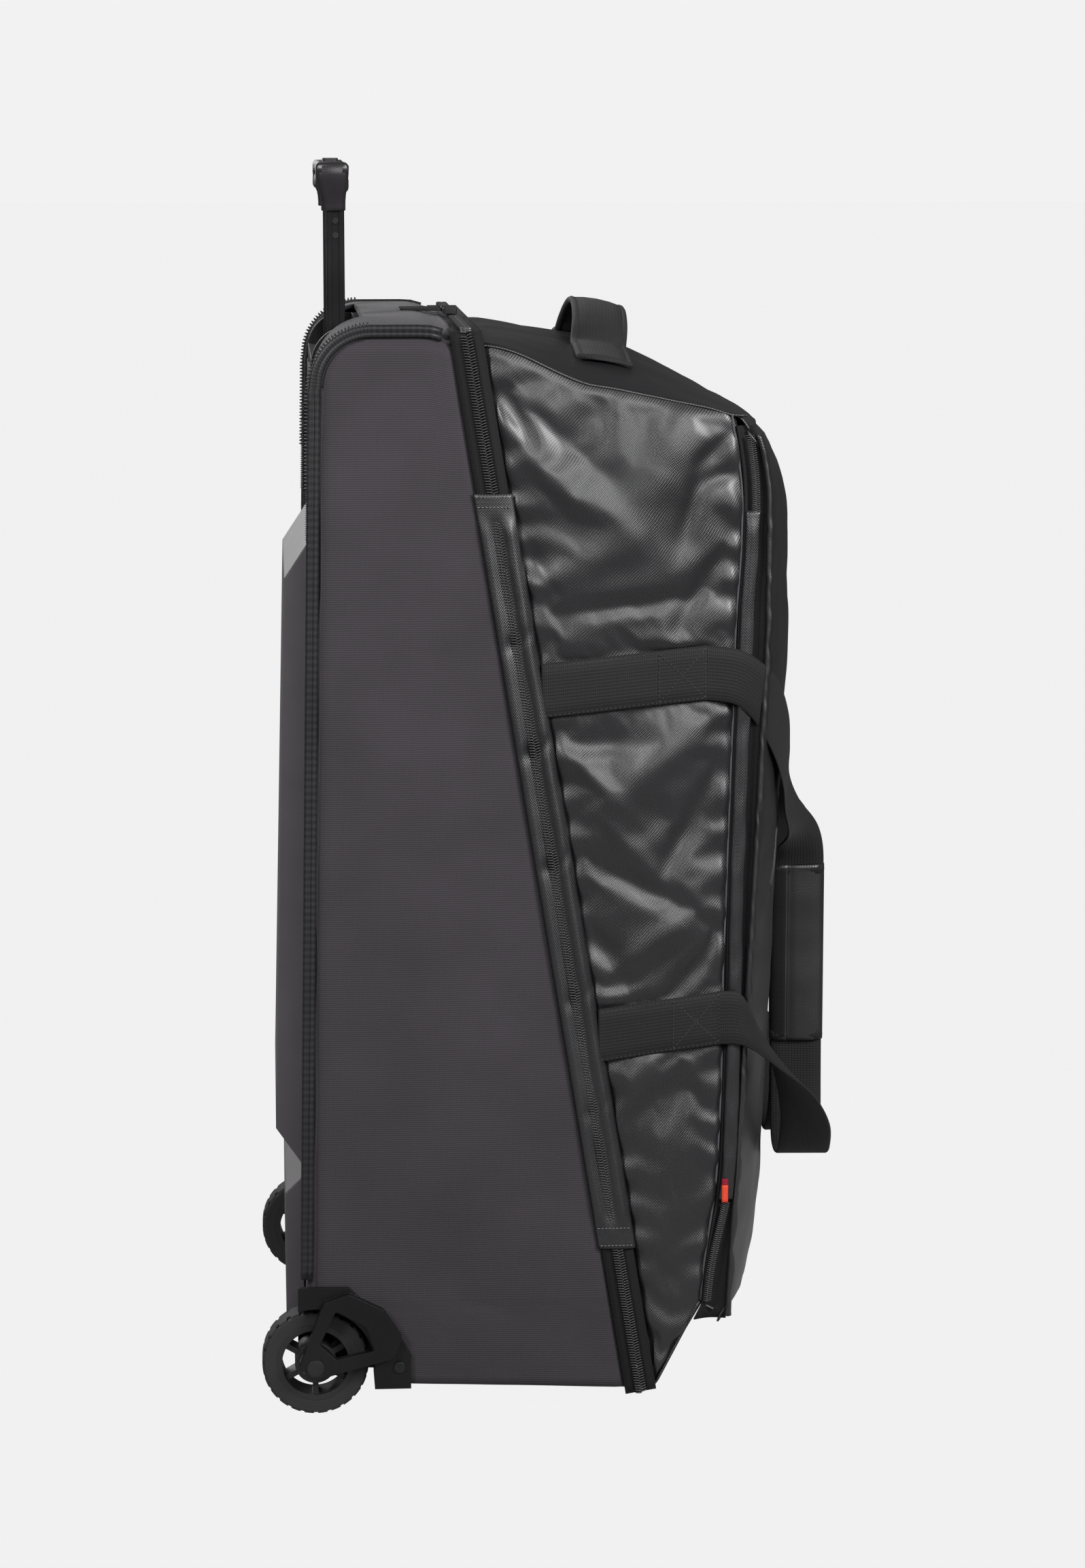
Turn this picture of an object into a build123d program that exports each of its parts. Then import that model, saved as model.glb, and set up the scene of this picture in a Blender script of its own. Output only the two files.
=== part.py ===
from build123d import *
import math
import os

# A wheeled travel duffel that stands on two corner wheels and its front bottom edge.
# Millimetres. +X is the front, the lid's side. +Z is up, and the floor is z = 0.
# Lengths in X are measured from the wheel axle. save() moves every piece so that the
# origin is under the middle of the whole bag.

# ---- overall sizes
WIDTH = 380.0               # across the two side panels
BAG_TOP = 760.0             # top panel above the floor
WHEEL_D = 75.0
WHEEL_W = 24.0
WHEEL_INSET = 16.0          # wheel's middle plane, in from the side panel

# ---- rear compartment
REAR_WALL = 4.0             # foam-backed cloth
BACK_FOOT_X = -8.0
BACK_TOP_X = 5.0
BACK_FOOT_Z = 24.0
CORNER_R = 26.0             # top back corner
BOTTOM_SPLIT_Z = 44.0       # seam between the back and the bottom panel
ZIP_TOP_X = 108.0           # main zip's line at the bag's top
ZIP_FOOT_X = 232.0          # and where it meets the floor
ZIP_GAP = 1.0               # from the zip's line to each compartment's cut edge
SIDE_EDGE_REAR_Z = 23.0     # lower edge of a side panel near the wheels
SIDE_EDGE_FRONT_Z = 16.0    # and at the main zip
BELLY_IN = 50.0             # edge of the bottom's flat middle, in from the side panels
BELLY_EDGE_Z = 3.0          # underside there, at the main zip
BOARD_X = 34.0
BOARD_T = 2.0
BOARD_EDGE = 10.0           # board's edge, in from the compartment's walls
PIPING_R = 3.0

# ---- lid
LID_WALL = 2.5
SHOULDER_X = 225.0
SHOULDER_DROP = 22.0        # shoulder below the bag's top
SEAM_TOP_X = 292.0          # lid's front seam, top
SEAM_TOP_DROP = 55.0        # this and the other drops are below the bag's top
SEAM_MID_X = 297.0
SEAM_MID_DROP = 140.0
SEAM_FOOT_X = 276.0
SEAM_FOOT_Z = 77.0
TOE_X = 242.0
TOE_Z = 20.0

# ---- front pocket
POCKET_WALL = 2.5
POCKET_SIDE_IN = 4.0        # pocket's side, in from the lid's side
POCKET_SIDE_X = 300.0
POCKET_BROW_X = 320.0
POCKET_BROW_DROP = 67.0
POCKET_BELLY_X = 347.0
POCKET_BELLY_TOP_DROP = 124.0
POCKET_BELLY_LOW_DROP = 220.0
POCKET_WAIST_X = 340.0
POCKET_WAIST_Z = 370.0
POCKET_TOE_X = 328.0
POCKET_TOE_Z = 105.0
POCKET_HEM_X = 316.0
POCKET_HEM_Z = 60.0

# ---- zips
TAPE_W = 9.0
TAPE_T = 1.2
COIL_W = 4.6
COIL_T = 2.0
COIL_SPLIT = 0.4            # half the gap between two closed rows of teeth
ZIP_END_Z = 24.0
FLAP_TOP_DROP = 109.0
FLAP_LOW_Z = 119.0
FLAP_W = 22.0
FLAP_T = 3.5
FLAP_ROOT_W = 5.0
FLAP_CLEAR = 0.7            # flap over the coil
SLIDER_LIFT = 1.2           # main slider over the coil
SLIDER_L = 15.0
SLIDER_W = 10.0
SLIDER_T = 4.0
SLIDER_REST_Y = 14.0
PULL_L = 30.0
PULL_W = 7.0
PULL_T = 1.8
PULL_GAP = 0.8
CORNER_ZIP_LOW_DROP = 160.0
CORNER_ZIP_W = 6.0
CORNER_ZIP_T = 2.0
CORNER_ZIP_IN = 6.0
ARCH_ZIP_HALF = 130.0       # front pocket's curved zip, half its span
ARCH_ZIP_TOP_Z = 412.0
ARCH_ZIP_FOOT_Z = 366.0
ARCH_ZIP_W = 9.0
ARCH_ZIP_T = 1.5
POCKET_SLIDER_CLEAR = 0.5

# ---- hard back panels
HUMP_IN = 60.0              # each shell's edge, in from the side panels
HUMP_TOP_DROP = 145.0
HUMP_BROW_DROP = 173.0
HUMP_BROW_X = -16.0
HUMP_FOOT_X = -26.0
HUMP_FOOT_Z = 194.0
HUMP_END_Z = 168.0
SHELL_T = 2.5
SKID_IN = 52.0
SKID_TOP_Z = 162.0
SKID_X = -20.0
SKID_BEND_TOP_Z = 148.0
SKID_BEND_LOW_Z = 58.0
SKID_LOW_Z = 34.0

# ---- wheels, housings, axles
TYRE_T = 10.0
TREAD_COUNT = 24
TREAD_W = 3.0
TREAD_DEPTH = 1.4
TREAD_LEN = 6.0
RIM_T = 4.0
SPOKES = 6
SPOKE_T = 4.0
BEARING_OD = 22.0
BEARING_W = 7.0
BEARING_WALL = 3.5          # hub plastic round the bearing
AXLE_D = 8.0
RUNNING_FIT = 0.05          # radial, bearing on axle
WHEEL_SIDE_GAP = 1.0
ARCH_CLEAR = 4.0            # wheel to arch
ARCH_T = 3.5
BAY_FIT = 0.5               # housing to cloth
ARM_T = 6.0
ARM_OUT = 9.0               # arm's outer face, out from the side panel
FLANGE_T = 4.0
FLANGE_RIM = 12.0           # flange above the arch
ARCH_BACK_X = -12.0         # the arch and its arm reach no further back
CHEEK_IN = 38.0             # inner cheek's inner face, in from the side panel
CHEEK_T = 3.5
FOOT_FRONT_X = 67.0
FOOT_Z = 20.0
FOOT_TOP_Z = 44.0
BOSS_R = 8.5
BOLT_HEAD_R = 6.0
BOLT_HEAD_T = 2.5
NUT_R = 7.0
NUT_T = 6.0
HOLE_FIT = 0.1
SCREW_HEAD_R = 4.0
SCREW_HEAD_T = 1.6

# ---- pull handle
TUBE_X = 22.5
TUBE_Y = 80.0
INNER_TUBE = 12.6
TUBE_WALL = 1.2
TUBE_GAP = 0.5              # all round, stage in stage
GROOVE_W = 5.0
GROOVE_DEPTH = 0.6
OUTER_LOW_Z = 62.0
MIDDLE_LOW_Z = 84.0
INNER_LOW_Z = 200.0
TRAY_FLOOR_DROP = 23.0
TRAY_FLOOR_T = 8.0
TRAY_HALF_W = 106.0
TRAY_WALL = 5.0
TRAY_FRONT_X = 42.0
GRIP_UP = 113.0             # grip's top above the bag's top, as it stands drawn out
GRIP_BACK_X = 9.0
GRIP_FRONT_X = 32.0
GRIP_T = 23.0
GRIP_HALF_W = 94.0
GRIP_CAP_T = 9.0
GRIP_WALL = 2.5
GRIP_R = 5.0
GRIP_TOP_R = 4.0
SOCKET_L = 11.0             # sockets below the bar
SOCKET_BACK_WALL = 4.2
SOCKET_FRONT_WALL = 1.7
SOCKET_SIDE_WALL = 3.7
BUTTON_L = 40.0
BUTTON_W = 11.0
BUTTON_RISE = 1.5
BUTTON_TRAVEL = 4.0
BUTTON_GAP = 0.4
YOKE_T = 3.0
ROD_R = 1.5
SPRING_R = 3.2
SPRING_WIRE_R = 0.5
SPRING_TURNS = 5
PIN_R = 2.0
PIN_L = 7.0
PIN_OUT = 0.8
PIN_UP = 12.0               # pins above the inner tube's foot
PIN_FIT = 0.5
STAGE_UP = 100.0            # upper stage, further out than at rest
STAGE_DOWN = 100.0          # and in to stowed
BRACKET_T = 20.0
RIVET_R = 2.6
RIVET_T = 0.55
RIVET_DROPS = (7.0, 17.0)   # below the sockets

# ---- webbing and grips
WEB_W = 38.0
WEB_T = 2.0
WEB_LIFT = 0.4
STRAP_TOP_DROP = 246.0      # upper strap's middle where it leaves the main zip
STRAP_LOW_Z = 271.0
STRAP_RISE = 13.0           # rise from the main zip to the lid's front
STRAP_FROM_ZIP = 16.0
STRAP_TOP_END_X = 273.0
STRAP_LOW_END_X = 284.0
WRAP_OFF = 4.0              # hand wrap, off the pocket's waist
WRAP_LOW_Z = 223.0
WRAP_TOP_Z = 356.0
WRAP_HALF_T = 7.0
BIGHT_Z = 150.0             # lowest point of the slack webbing
# Stations of the free webbing. Upper: shares of the way forward from the pocket's side to the
# wrap's middle, in from the lid's side, and down to the wrap; then the direction of its width.
UPPER_TURNS = ((0.03, 0.0, 0.02, (0.1, 0, 1)), (0.38, 0.125, 0.13, (0.3, 0.3, 1)),
               (0.78, 0.345, 0.35, (0.3, 0.7, 0.7)), (1.0, 0.63, 0.6, (0.6, 0.5, 0.5)),
               (1.02, 0.9, 0.84, (0.75, 0.45, 0.45)))
# Lower: the same share forward, then out to the lid's side, and up from the bight.
LOWER_TURNS = ((1.0, 0.03, 0.22, (1, 0, 0)), (0.98, 0.115, 0.04, (1, 0, 0)), (0.97, 0.26, 0.01, (1, 0, 0)),
               (0.95, 0.46, 0.16, (1, 0, -0.2)), (0.76, 0.71, 0.43, (0.9, 0, -0.5)),
               (0.48, 0.905, 0.75, (0.6, 0, -0.8)), (0.13, 1.0, 0.93, (0.2, 0, -1)))
GRAB_X = 207.0
GRAB_HALF_SPAN = 74.0
GRAB_RISE = 24.0
GRAB_T = 6.0
GRAB_FOOT_L = 26.0
TAG_Z = 159.0
TAG_H = 16.0
TAG_W = 4.0
TAG_T = 1.2

# ---- worked out from the above
HALF = WIDTH / 2
WHEEL_R = WHEEL_D / 2
AXLE_Z = WHEEL_R
WHEEL_Y = HALF - WHEEL_INSET
WRAP_BACK_X = POCKET_WAIST_X + WRAP_OFF
WRAP_FRONT_X = WRAP_BACK_X + WEB_W
WRAP_MIDDLE_X = (WRAP_BACK_X + WRAP_FRONT_X) / 2
X0 = -(WRAP_FRONT_X - WHEEL_R) / 2      # axle's place from the middle of the bag
BELLY_HALF_W = HALF - BELLY_IN
SEAM_TOP_Z = BAG_TOP - SEAM_TOP_DROP
SEAM_MID_Z = BAG_TOP - SEAM_MID_DROP
POCKET_BROW_Z = BAG_TOP - POCKET_BROW_DROP
POCKET_BELLY_TOP_Z = BAG_TOP - POCKET_BELLY_TOP_DROP
POCKET_BELLY_LOW_Z = BAG_TOP - POCKET_BELLY_LOW_DROP
FLAP_TOP_Z = BAG_TOP - FLAP_TOP_DROP
CORNER_ZIP_LOW_Z = BAG_TOP - CORNER_ZIP_LOW_DROP
HUMP_HALF_W = HALF - HUMP_IN
HUMP_TOP_Z = BAG_TOP - HUMP_TOP_DROP
HUMP_BROW_Z = BAG_TOP - HUMP_BROW_DROP
SKID_HALF_W = HALF - SKID_IN
TRAY_FLOOR_Z = BAG_TOP - TRAY_FLOOR_DROP
STRAP_TOP_Z = BAG_TOP - STRAP_TOP_DROP
MIDDLE_TUBE = INNER_TUBE + 2 * (TUBE_GAP + TUBE_WALL)
OUTER_TUBE = MIDDLE_TUBE + 2 * (TUBE_GAP + TUBE_WALL)
GRIP_TOP_Z = BAG_TOP + GRIP_UP
GRIP_LOW_Z = GRIP_TOP_Z - GRIP_T
SOCKET_LOW_Z = GRIP_LOW_Z - SOCKET_L
SOCKET_BACK_X = TUBE_X - INNER_TUBE / 2 - SOCKET_BACK_WALL
SOCKET_FRONT_X = TUBE_X + INNER_TUBE / 2 + SOCKET_FRONT_WALL
SOCKET_W = INNER_TUBE + 2 * SOCKET_SIDE_WALL
GRIP_SPLIT_Z = GRIP_TOP_Z - GRIP_CAP_T
ARCH_R = WHEEL_R + ARCH_CLEAR
FLANGE_TOP_Z = AXLE_Z + ARCH_R + ARCH_T + FLANGE_RIM
BIG = 2000.0
CUT = 1.0                   # how far a cutting shape runs past what it cuts


def save(name, *solids):
    """Writes one node, moved so that the origin is under the middle of the bag."""
    moved = [Pos(X0, 0, 0) * solid for shape in solids for solid in shape.solids()]
    node = moved[0] if len(moved) == 1 else Compound(children=moved)
    export_step(node, "parts/" + name + ".step")


def slab(x0, x1, y0, y1, z0, z1):
    """A block between two corners."""
    return Pos((x0 + x1) / 2, (y0 + y1) / 2, (z0 + z1) / 2) * Box(x1 - x0, y1 - y0, z1 - z0)


def prism(points, y0, y1):
    """A block whose outline lies in XZ, from y0 to y1."""
    face = Plane.XZ * make_face(Polyline(*points, close=True))
    return Pos(0, y0, 0) * extrude(face, amount=y1 - y0, dir=(0, 1, 0))


def disc(radius, x, z, y0, y1):
    """A cylinder along Y."""
    return Pos(x, (y0 + y1) / 2, z) * Rot(90, 0, 0) * Cylinder(radius, y1 - y0)


def ring(outer, inner, x, z, y0, y1):
    return disc(outer, x, z, y0, y1) - disc(inner, x, z, y0 - CUT, y1 + CUT)


def other_side(shape):
    """The same piece on the bag's left."""
    return mirror(shape, Plane.XZ)


def zip_x(z):
    """The main zip's line at height z."""
    return ZIP_FOOT_X + (ZIP_TOP_X - ZIP_FOOT_X) * z / BAG_TOP


def seam_x(z):
    """The lid's front seam at height z."""
    low = (SEAM_FOOT_X, SEAM_FOOT_Z)
    mid = (SEAM_MID_X, SEAM_MID_Z)
    top = (SEAM_TOP_X, SEAM_TOP_Z)
    a, b = (low, mid) if z < SEAM_MID_Z else (mid, top)
    return a[0] + (b[0] - a[0]) * (z - a[1]) / (b[1] - a[1])


def back_x(z):
    """The back panel's outer face at height z."""
    return BACK_FOOT_X + (BACK_TOP_X - BACK_FOOT_X) * (z - BACK_FOOT_Z) / (BAG_TOP - BACK_FOOT_Z)


def behind_zip(shift):
    """Everything behind the main zip's line moved forward by shift."""
    low = (zip_x(-BIG) + shift, -BIG)
    high = (zip_x(BIG) + shift, BIG)
    return prism([(-BIG * 2, -BIG), low, high, (-BIG * 2, BIG)], -BIG, BIG)


def belly_cut(inset):
    """The bag's underside rises from its flat middle to each side panel's lower edge."""
    slope = (SIDE_EDGE_FRONT_Z - inset - BELLY_EDGE_Z) / BELLY_IN
    cuts = []
    for side in (-1, 1):
        rear = Vector(FOOT_FRONT_X, side * (HALF - inset), SIDE_EDGE_REAR_Z + inset)
        front = Vector(ZIP_FOOT_X, side * (HALF - inset), SIDE_EDGE_FRONT_Z + inset)
        inner = Vector(ZIP_FOOT_X, side * BELLY_HALF_W, SIDE_EDGE_FRONT_Z + inset
                       - slope * (HALF - inset - BELLY_HALF_W))
        down = (front - rear).cross(inner - rear).normalized()
        down = down if down.Z < 0 else -down
        cuts.append(Plane(origin=rear, z_dir=down) * Pos(0, 0, HALF / 2) * Box(BIG, BIG, HALF))
    return cuts


def rear_block(inset):
    """The rear compartment's outside, or its inside when inset by a wall."""
    top = BAG_TOP - inset
    outline = [(back_x(BACK_FOOT_Z) + inset, BACK_FOOT_Z + inset), (back_x(top) + inset, top),
               (ZIP_FOOT_X, top), (ZIP_FOOT_X + ZIP_TOP_X, inset), (ZIP_FOOT_X, inset)]
    block = prism(outline, -HALF + inset, HALF - inset)
    corner = block.edges().filter_by(Axis.Y).sort_by(lambda e: e.center().Z - e.center().X)[-1]
    block = fillet(corner, CORNER_R - inset)
    for cut in belly_cut(inset):
        block -= cut
    return block


def lid_block(inset):
    """The lid's outside, or its inside when inset by a wall."""
    top = BAG_TOP - inset
    outline = [(ZIP_TOP_X - inset - WEB_W, top), (ZIP_TOP_X, top),
               (SHOULDER_X, BAG_TOP - SHOULDER_DROP - inset),
               (SEAM_TOP_X - inset, SEAM_TOP_Z - inset), (SEAM_MID_X - inset, SEAM_MID_Z),
               (SEAM_FOOT_X - inset, SEAM_FOOT_Z), (TOE_X - inset, TOE_Z + inset),
               (ZIP_FOOT_X, inset), (ZIP_FOOT_X - WEB_W, inset)]
    block = prism(outline, -HALF + inset, HALF - inset)
    for cut in belly_cut(inset):
        block -= cut
    return block


def pocket_block(inset):
    """The front pocket's outside: one outline from the side, one from above."""
    brow_z = POCKET_BROW_Z - inset
    side = [(ZIP_FOOT_X, brow_z), (POCKET_BROW_X - inset, brow_z),
            (POCKET_BELLY_X - inset, POCKET_BELLY_TOP_Z), (POCKET_BELLY_X - inset, POCKET_BELLY_LOW_Z),
            (POCKET_WAIST_X - inset, POCKET_WAIST_Z), (POCKET_TOE_X - inset, POCKET_TOE_Z),
            (POCKET_HEM_X - inset, POCKET_HEM_Z + inset), (ZIP_FOOT_X, SEAM_FOOT_Z + inset)]
    reach = HALF - POCKET_SIDE_IN - inset
    bow = ThreePointArc((POCKET_SIDE_X - inset, -reach), (POCKET_BELLY_X - inset, 0),
                        (POCKET_SIDE_X - inset, reach))
    back = Polyline((POCKET_SIDE_X - inset, reach), (ZIP_FOOT_X, reach), (ZIP_FOOT_X, -reach),
                    (POCKET_SIDE_X - inset, -reach))
    above = extrude(make_face([bow, back]), amount=BAG_TOP, dir=(0, 0, 1))
    return prism(side, -HALF, HALF) & above


def wheel_bay():
    """The room that both wheel housings take out of the bag's lower back corners."""
    y0 = -HALF - ARM_OUT
    y1 = -HALF + CHEEK_IN + BAY_FIT
    radius = ARCH_R + ARCH_T + BAY_FIT
    bay = disc(radius, 0, AXLE_Z, y0, y1)
    bay += slab(-BIG, radius, y0, y1, -BIG, AXLE_Z)
    bay += slab(-BIG, 0, y0, y1, -BIG, AXLE_Z + radius)
    bay += slab(0, FOOT_FRONT_X + BAY_FIT, y0, y1, -BIG, FOOT_TOP_Z + BAY_FIT)
    bay += disc(NUT_R + BAY_FIT, 0, AXLE_Z, y0, y1 + NUT_T)
    return bay


def tray_bay():
    """The room for the handle tray in the top and the back."""
    return slab(-BIG, TRAY_FRONT_X, -TRAY_HALF_W, TRAY_HALF_W, TRAY_FLOOR_Z - TRAY_FLOOR_T, BIG)


def make_rear_compartment():
    """Five sewn panels of the rear compartment, wall thick, open along the main zip."""
    bay = wheel_bay()
    shell = (rear_block(0) - rear_block(REAR_WALL)) & behind_zip(-ZIP_GAP)
    shell = shell - bay - other_side(bay) - tray_bay()
    inner = HALF - REAR_WALL
    side = shell & slab(-BIG, BIG, -HALF, -inner, -BIG, BIG)
    middle = shell & slab(-BIG, BIG, -inner, inner, -BIG, BIG)
    top_split = BAG_TOP - CORNER_R
    save("rear_side_right", side)
    save("rear_side_left", other_side(side))
    save("rear_top_panel", middle & slab(-BIG, BIG, -HALF, HALF, top_split, BIG))
    save("back_panel", middle & slab(-BIG, BIG, -HALF, HALF, BOTTOM_SPLIT_Z, top_split))
    save("bottom_panel", middle & slab(-BIG, BIG, -HALF, HALF, -BIG, BOTTOM_SPLIT_Z))


def make_back_board():
    """A plastic sheet between the handle tubes and the packing space."""
    edge = REAR_WALL + BOARD_EDGE
    top = TRAY_FLOOR_Z - TRAY_FLOOR_T - TUBE_GAP
    save("back_board", slab(BOARD_X, BOARD_X + BOARD_T, -HALF + edge, HALF - edge, BOTTOM_SPLIT_Z, top)
         - wheel_bay() - other_side(wheel_bay()))


def make_piping():
    """A round cord sewn in both back edges of the rear compartment."""
    low = FLANGE_TOP_Z + PIPING_R
    top = BAG_TOP - CORNER_R
    path = Line((back_x(low) - PIPING_R, -HALF, low), (back_x(top) - PIPING_R, -HALF, top))
    cord = sweep(Plane(origin=path @ 0, z_dir=path % 0) * Circle(PIPING_R), path)
    cord -= rear_block(0)
    save("piping", cord, other_side(cord))


def back_bulge(outline, half_w):
    """A moulded shell on the bag's back, open towards the cloth."""
    outer = prism(outline, -half_w, half_w)
    hollow = Pos(SHELL_T, 0, 0) * prism(outline, -half_w + SHELL_T, half_w - SHELL_T)
    return outer - hollow - rear_block(0)


def make_back_shells():
    """The hard hump over the back and the skid plate between the wheels."""
    hump = [(back_x(HUMP_TOP_Z), HUMP_TOP_Z), (HUMP_BROW_X, HUMP_BROW_Z), (HUMP_FOOT_X, HUMP_FOOT_Z),
            (back_x(HUMP_END_Z) - SHELL_T, HUMP_END_Z), (BOARD_X, HUMP_END_Z), (BOARD_X, HUMP_TOP_Z)]
    skid = [(back_x(SKID_TOP_Z), SKID_TOP_Z), (SKID_X, SKID_BEND_TOP_Z), (SKID_X, SKID_BEND_LOW_Z),
            (back_x(SKID_LOW_Z), SKID_LOW_Z), (BOARD_X, SKID_LOW_Z), (BOARD_X, SKID_TOP_Z)]
    save("back_hump_shell", back_bulge(hump, HUMP_HALF_W))
    save("skid_plate", back_bulge(skid, SKID_HALF_W))


def zip_band(near, far, y0, y1, z0, z1):
    """A strip along the main zip's line, from near to far in front of it."""
    return prism([(zip_x(z0) + near, z0), (zip_x(z0) + far, z0), (zip_x(z1) + far, z1),
                  (zip_x(z1) + near, z1)], y0, y1)


def zip_half(near, far):
    """A band round the bag: up one side, over the top and down the other."""
    tape_out = HALF + TAPE_T
    band = zip_band(near, far, -tape_out, tape_out, ZIP_END_Z, BAG_TOP + TAPE_T)
    return band - slab(-BIG, BIG, -HALF, HALF, -BIG, BAG_TOP)


def coil_half(near, far):
    tape_out = HALF + TAPE_T
    coil_out = tape_out + COIL_T
    band = zip_band(near, far, -coil_out, coil_out, ZIP_END_Z, BAG_TOP + TAPE_T + COIL_T)
    return band - slab(-BIG, BIG, -tape_out, tape_out, -BIG, BAG_TOP + TAPE_T)


def make_main_zip():
    """Both halves of the main zip: a woven tape with a coil along its edge."""
    rear = zip_half(-TAPE_W, -COIL_SPLIT) + coil_half(-COIL_W, -COIL_SPLIT)
    lid = zip_half(COIL_SPLIT, TAPE_W) + coil_half(COIL_SPLIT, COIL_W)
    save("main_zip_rear_tape", rear)
    save("main_zip_lid_tape", lid)


def make_storm_flaps():
    """Cloth flaps sewn behind the main zip, lying over its middle stretch on each side."""
    inner = -HALF - TAPE_T - COIL_T - FLAP_CLEAR
    root = zip_band(-TAPE_W - FLAP_ROOT_W, -TAPE_W - ZIP_GAP, inner, -HALF, FLAP_LOW_Z, FLAP_TOP_Z)
    near = -TAPE_W - FLAP_ROOT_W
    flap = zip_band(near, near + FLAP_W + FLAP_ROOT_W, inner - FLAP_T, inner, FLAP_LOW_Z, FLAP_TOP_Z)
    save("storm_flap_right", root + flap)
    save("storm_flap_left", other_side(root + flap))


def make_corner_zips():
    """Short covered zips down the top back corners, one on each side."""
    strip = prism([(back_x(CORNER_ZIP_LOW_Z) + CORNER_ZIP_IN, CORNER_ZIP_LOW_Z),
                   (back_x(CORNER_ZIP_LOW_Z) + CORNER_ZIP_IN + CORNER_ZIP_W, CORNER_ZIP_LOW_Z),
                   (back_x(BAG_TOP) + CORNER_ZIP_IN + CORNER_ZIP_W, BAG_TOP - CORNER_R),
                   (back_x(BAG_TOP) + CORNER_ZIP_IN, BAG_TOP - CORNER_R)], -HALF - CORNER_ZIP_T, -HALF)
    save("corner_zips", strip, other_side(strip))


def slider_body():
    """A main zip slider over the closed coil at the bag's top."""
    z0 = BAG_TOP + TAPE_T + COIL_T + SLIDER_LIFT
    x1 = zip_x(BAG_TOP) + COIL_W / 2
    y0 = -SLIDER_REST_Y - SLIDER_L / 2
    body = slab(x1 - SLIDER_W, x1, y0, y0 + SLIDER_L, z0, z0 + SLIDER_T)
    return fillet(body.edges().filter_by(Axis.Z), SLIDER_W / 5)


def slider_pull():
    """Its pull, lying back over the top panel."""
    z0 = BAG_TOP + TAPE_T + COIL_T + SLIDER_LIFT + SLIDER_T / 2
    x1 = zip_x(BAG_TOP) + COIL_W / 2 - SLIDER_W - PULL_GAP
    pull = slab(x1 - PULL_L, x1, -SLIDER_REST_Y - PULL_W / 2, -SLIDER_REST_Y + PULL_W / 2, z0, z0 + PULL_T)
    return fillet(pull.edges().filter_by(Axis.Z), PULL_W / 3)


def make_main_sliders():
    for name, place in (("right", lambda s: s), ("left", other_side)):
        save("main_slider_" + name, place(slider_body()))
        save("main_pull_" + name, place(slider_pull()))


def make_lid():
    """The lid's panels: laminated cloth, open along the main zip."""
    shell = (lid_block(0) - lid_block(LID_WALL)) - behind_zip(ZIP_GAP)
    inner = HALF - LID_WALL
    side = shell & slab(-BIG, BIG, -HALF, -inner, -BIG, BIG)
    middle = shell & slab(-BIG, BIG, -inner, inner, -BIG, BIG)
    top_split = SEAM_TOP_Z - LID_WALL
    save("lid_side_right", side)
    save("lid_side_left", other_side(side))
    save("lid_top_panel", middle & slab(-BIG, BIG, -HALF, HALF, top_split, BIG))
    save("lid_front_panel", middle & slab(-BIG, BIG, -HALF, HALF, SEAM_FOOT_Z, top_split))
    save("lid_bottom_panel", middle & slab(-BIG, BIG, -HALF, HALF, -BIG, SEAM_FOOT_Z))


def make_front_pocket():
    """A bowed pocket over the lid's front, with its side zips and its curved front zip."""
    save("pocket_panel", pocket_block(0) - pocket_block(POCKET_WALL) - lid_block(0))
    reach = HALF - POCKET_SIDE_IN
    low = POCKET_TOE_Z
    high = POCKET_BELLY_TOP_Z
    strip = prism([(seam_x(low), low), (POCKET_SIDE_X, low), (POCKET_SIDE_X, high), (seam_x(high), high)],
                  -reach - TAPE_T, -reach) - lid_block(0)
    save("pocket_side_zips", strip, other_side(strip))
    band = arch_face(ARCH_ZIP_W / 2) - arch_face(-ARCH_ZIP_W / 2)
    reach = pocket_block(-ARCH_ZIP_T) - pocket_block(0)
    save("pocket_front_zip", extrude(Plane.YZ * band, amount=BIG, dir=(1, 0, 0)) & reach)


def arch_radius():
    """Radius of the front zip's curve."""
    rise = ARCH_ZIP_TOP_Z - ARCH_ZIP_FOOT_Z
    return (ARCH_ZIP_HALF ** 2 + rise ** 2) / (2 * rise)


def arch_face(grow):
    """The part of a circle that stands over the front zip's two ends."""
    radius = arch_radius()
    circle = Pos(0, ARCH_ZIP_TOP_Z - radius) * Circle(radius + grow)
    return circle & (Pos(0, ARCH_ZIP_FOOT_Z + BIG / 2) * Rectangle(2 * ARCH_ZIP_HALF, BIG))


def pocket_x(z):
    """The pocket's front at the bag's middle, between its waist and its belly."""
    rise = (z - POCKET_WAIST_Z) / (POCKET_BELLY_LOW_Z - POCKET_WAIST_Z)
    return POCKET_WAIST_X + (POCKET_BELLY_X - POCKET_WAIST_X) * rise


def make_pocket_slider():
    """The front zip's slider at the middle of its curve, and the pull that hangs from it."""
    x0 = pocket_x(ARCH_ZIP_TOP_Z + SLIDER_W / 2) + ARCH_ZIP_T + POCKET_SLIDER_CLEAR
    body = slab(x0, x0 + SLIDER_T, -SLIDER_L / 2, SLIDER_L / 2, ARCH_ZIP_TOP_Z - SLIDER_W / 2,
                ARCH_ZIP_TOP_Z + SLIDER_W / 2)
    save("pocket_slider", fillet(body.edges().filter_by(Axis.X), SLIDER_W / 5))
    top = ARCH_ZIP_TOP_Z - SLIDER_W / 2 - PULL_GAP
    x1 = x0 + (SLIDER_T - PULL_T) / 2
    pull = slab(x1, x1 + PULL_T, -PULL_W / 2, PULL_W / 2, top - PULL_L, top)
    save("pocket_pull", fillet(pull.edges().filter_by(Axis.X), PULL_W / 3))


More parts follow.
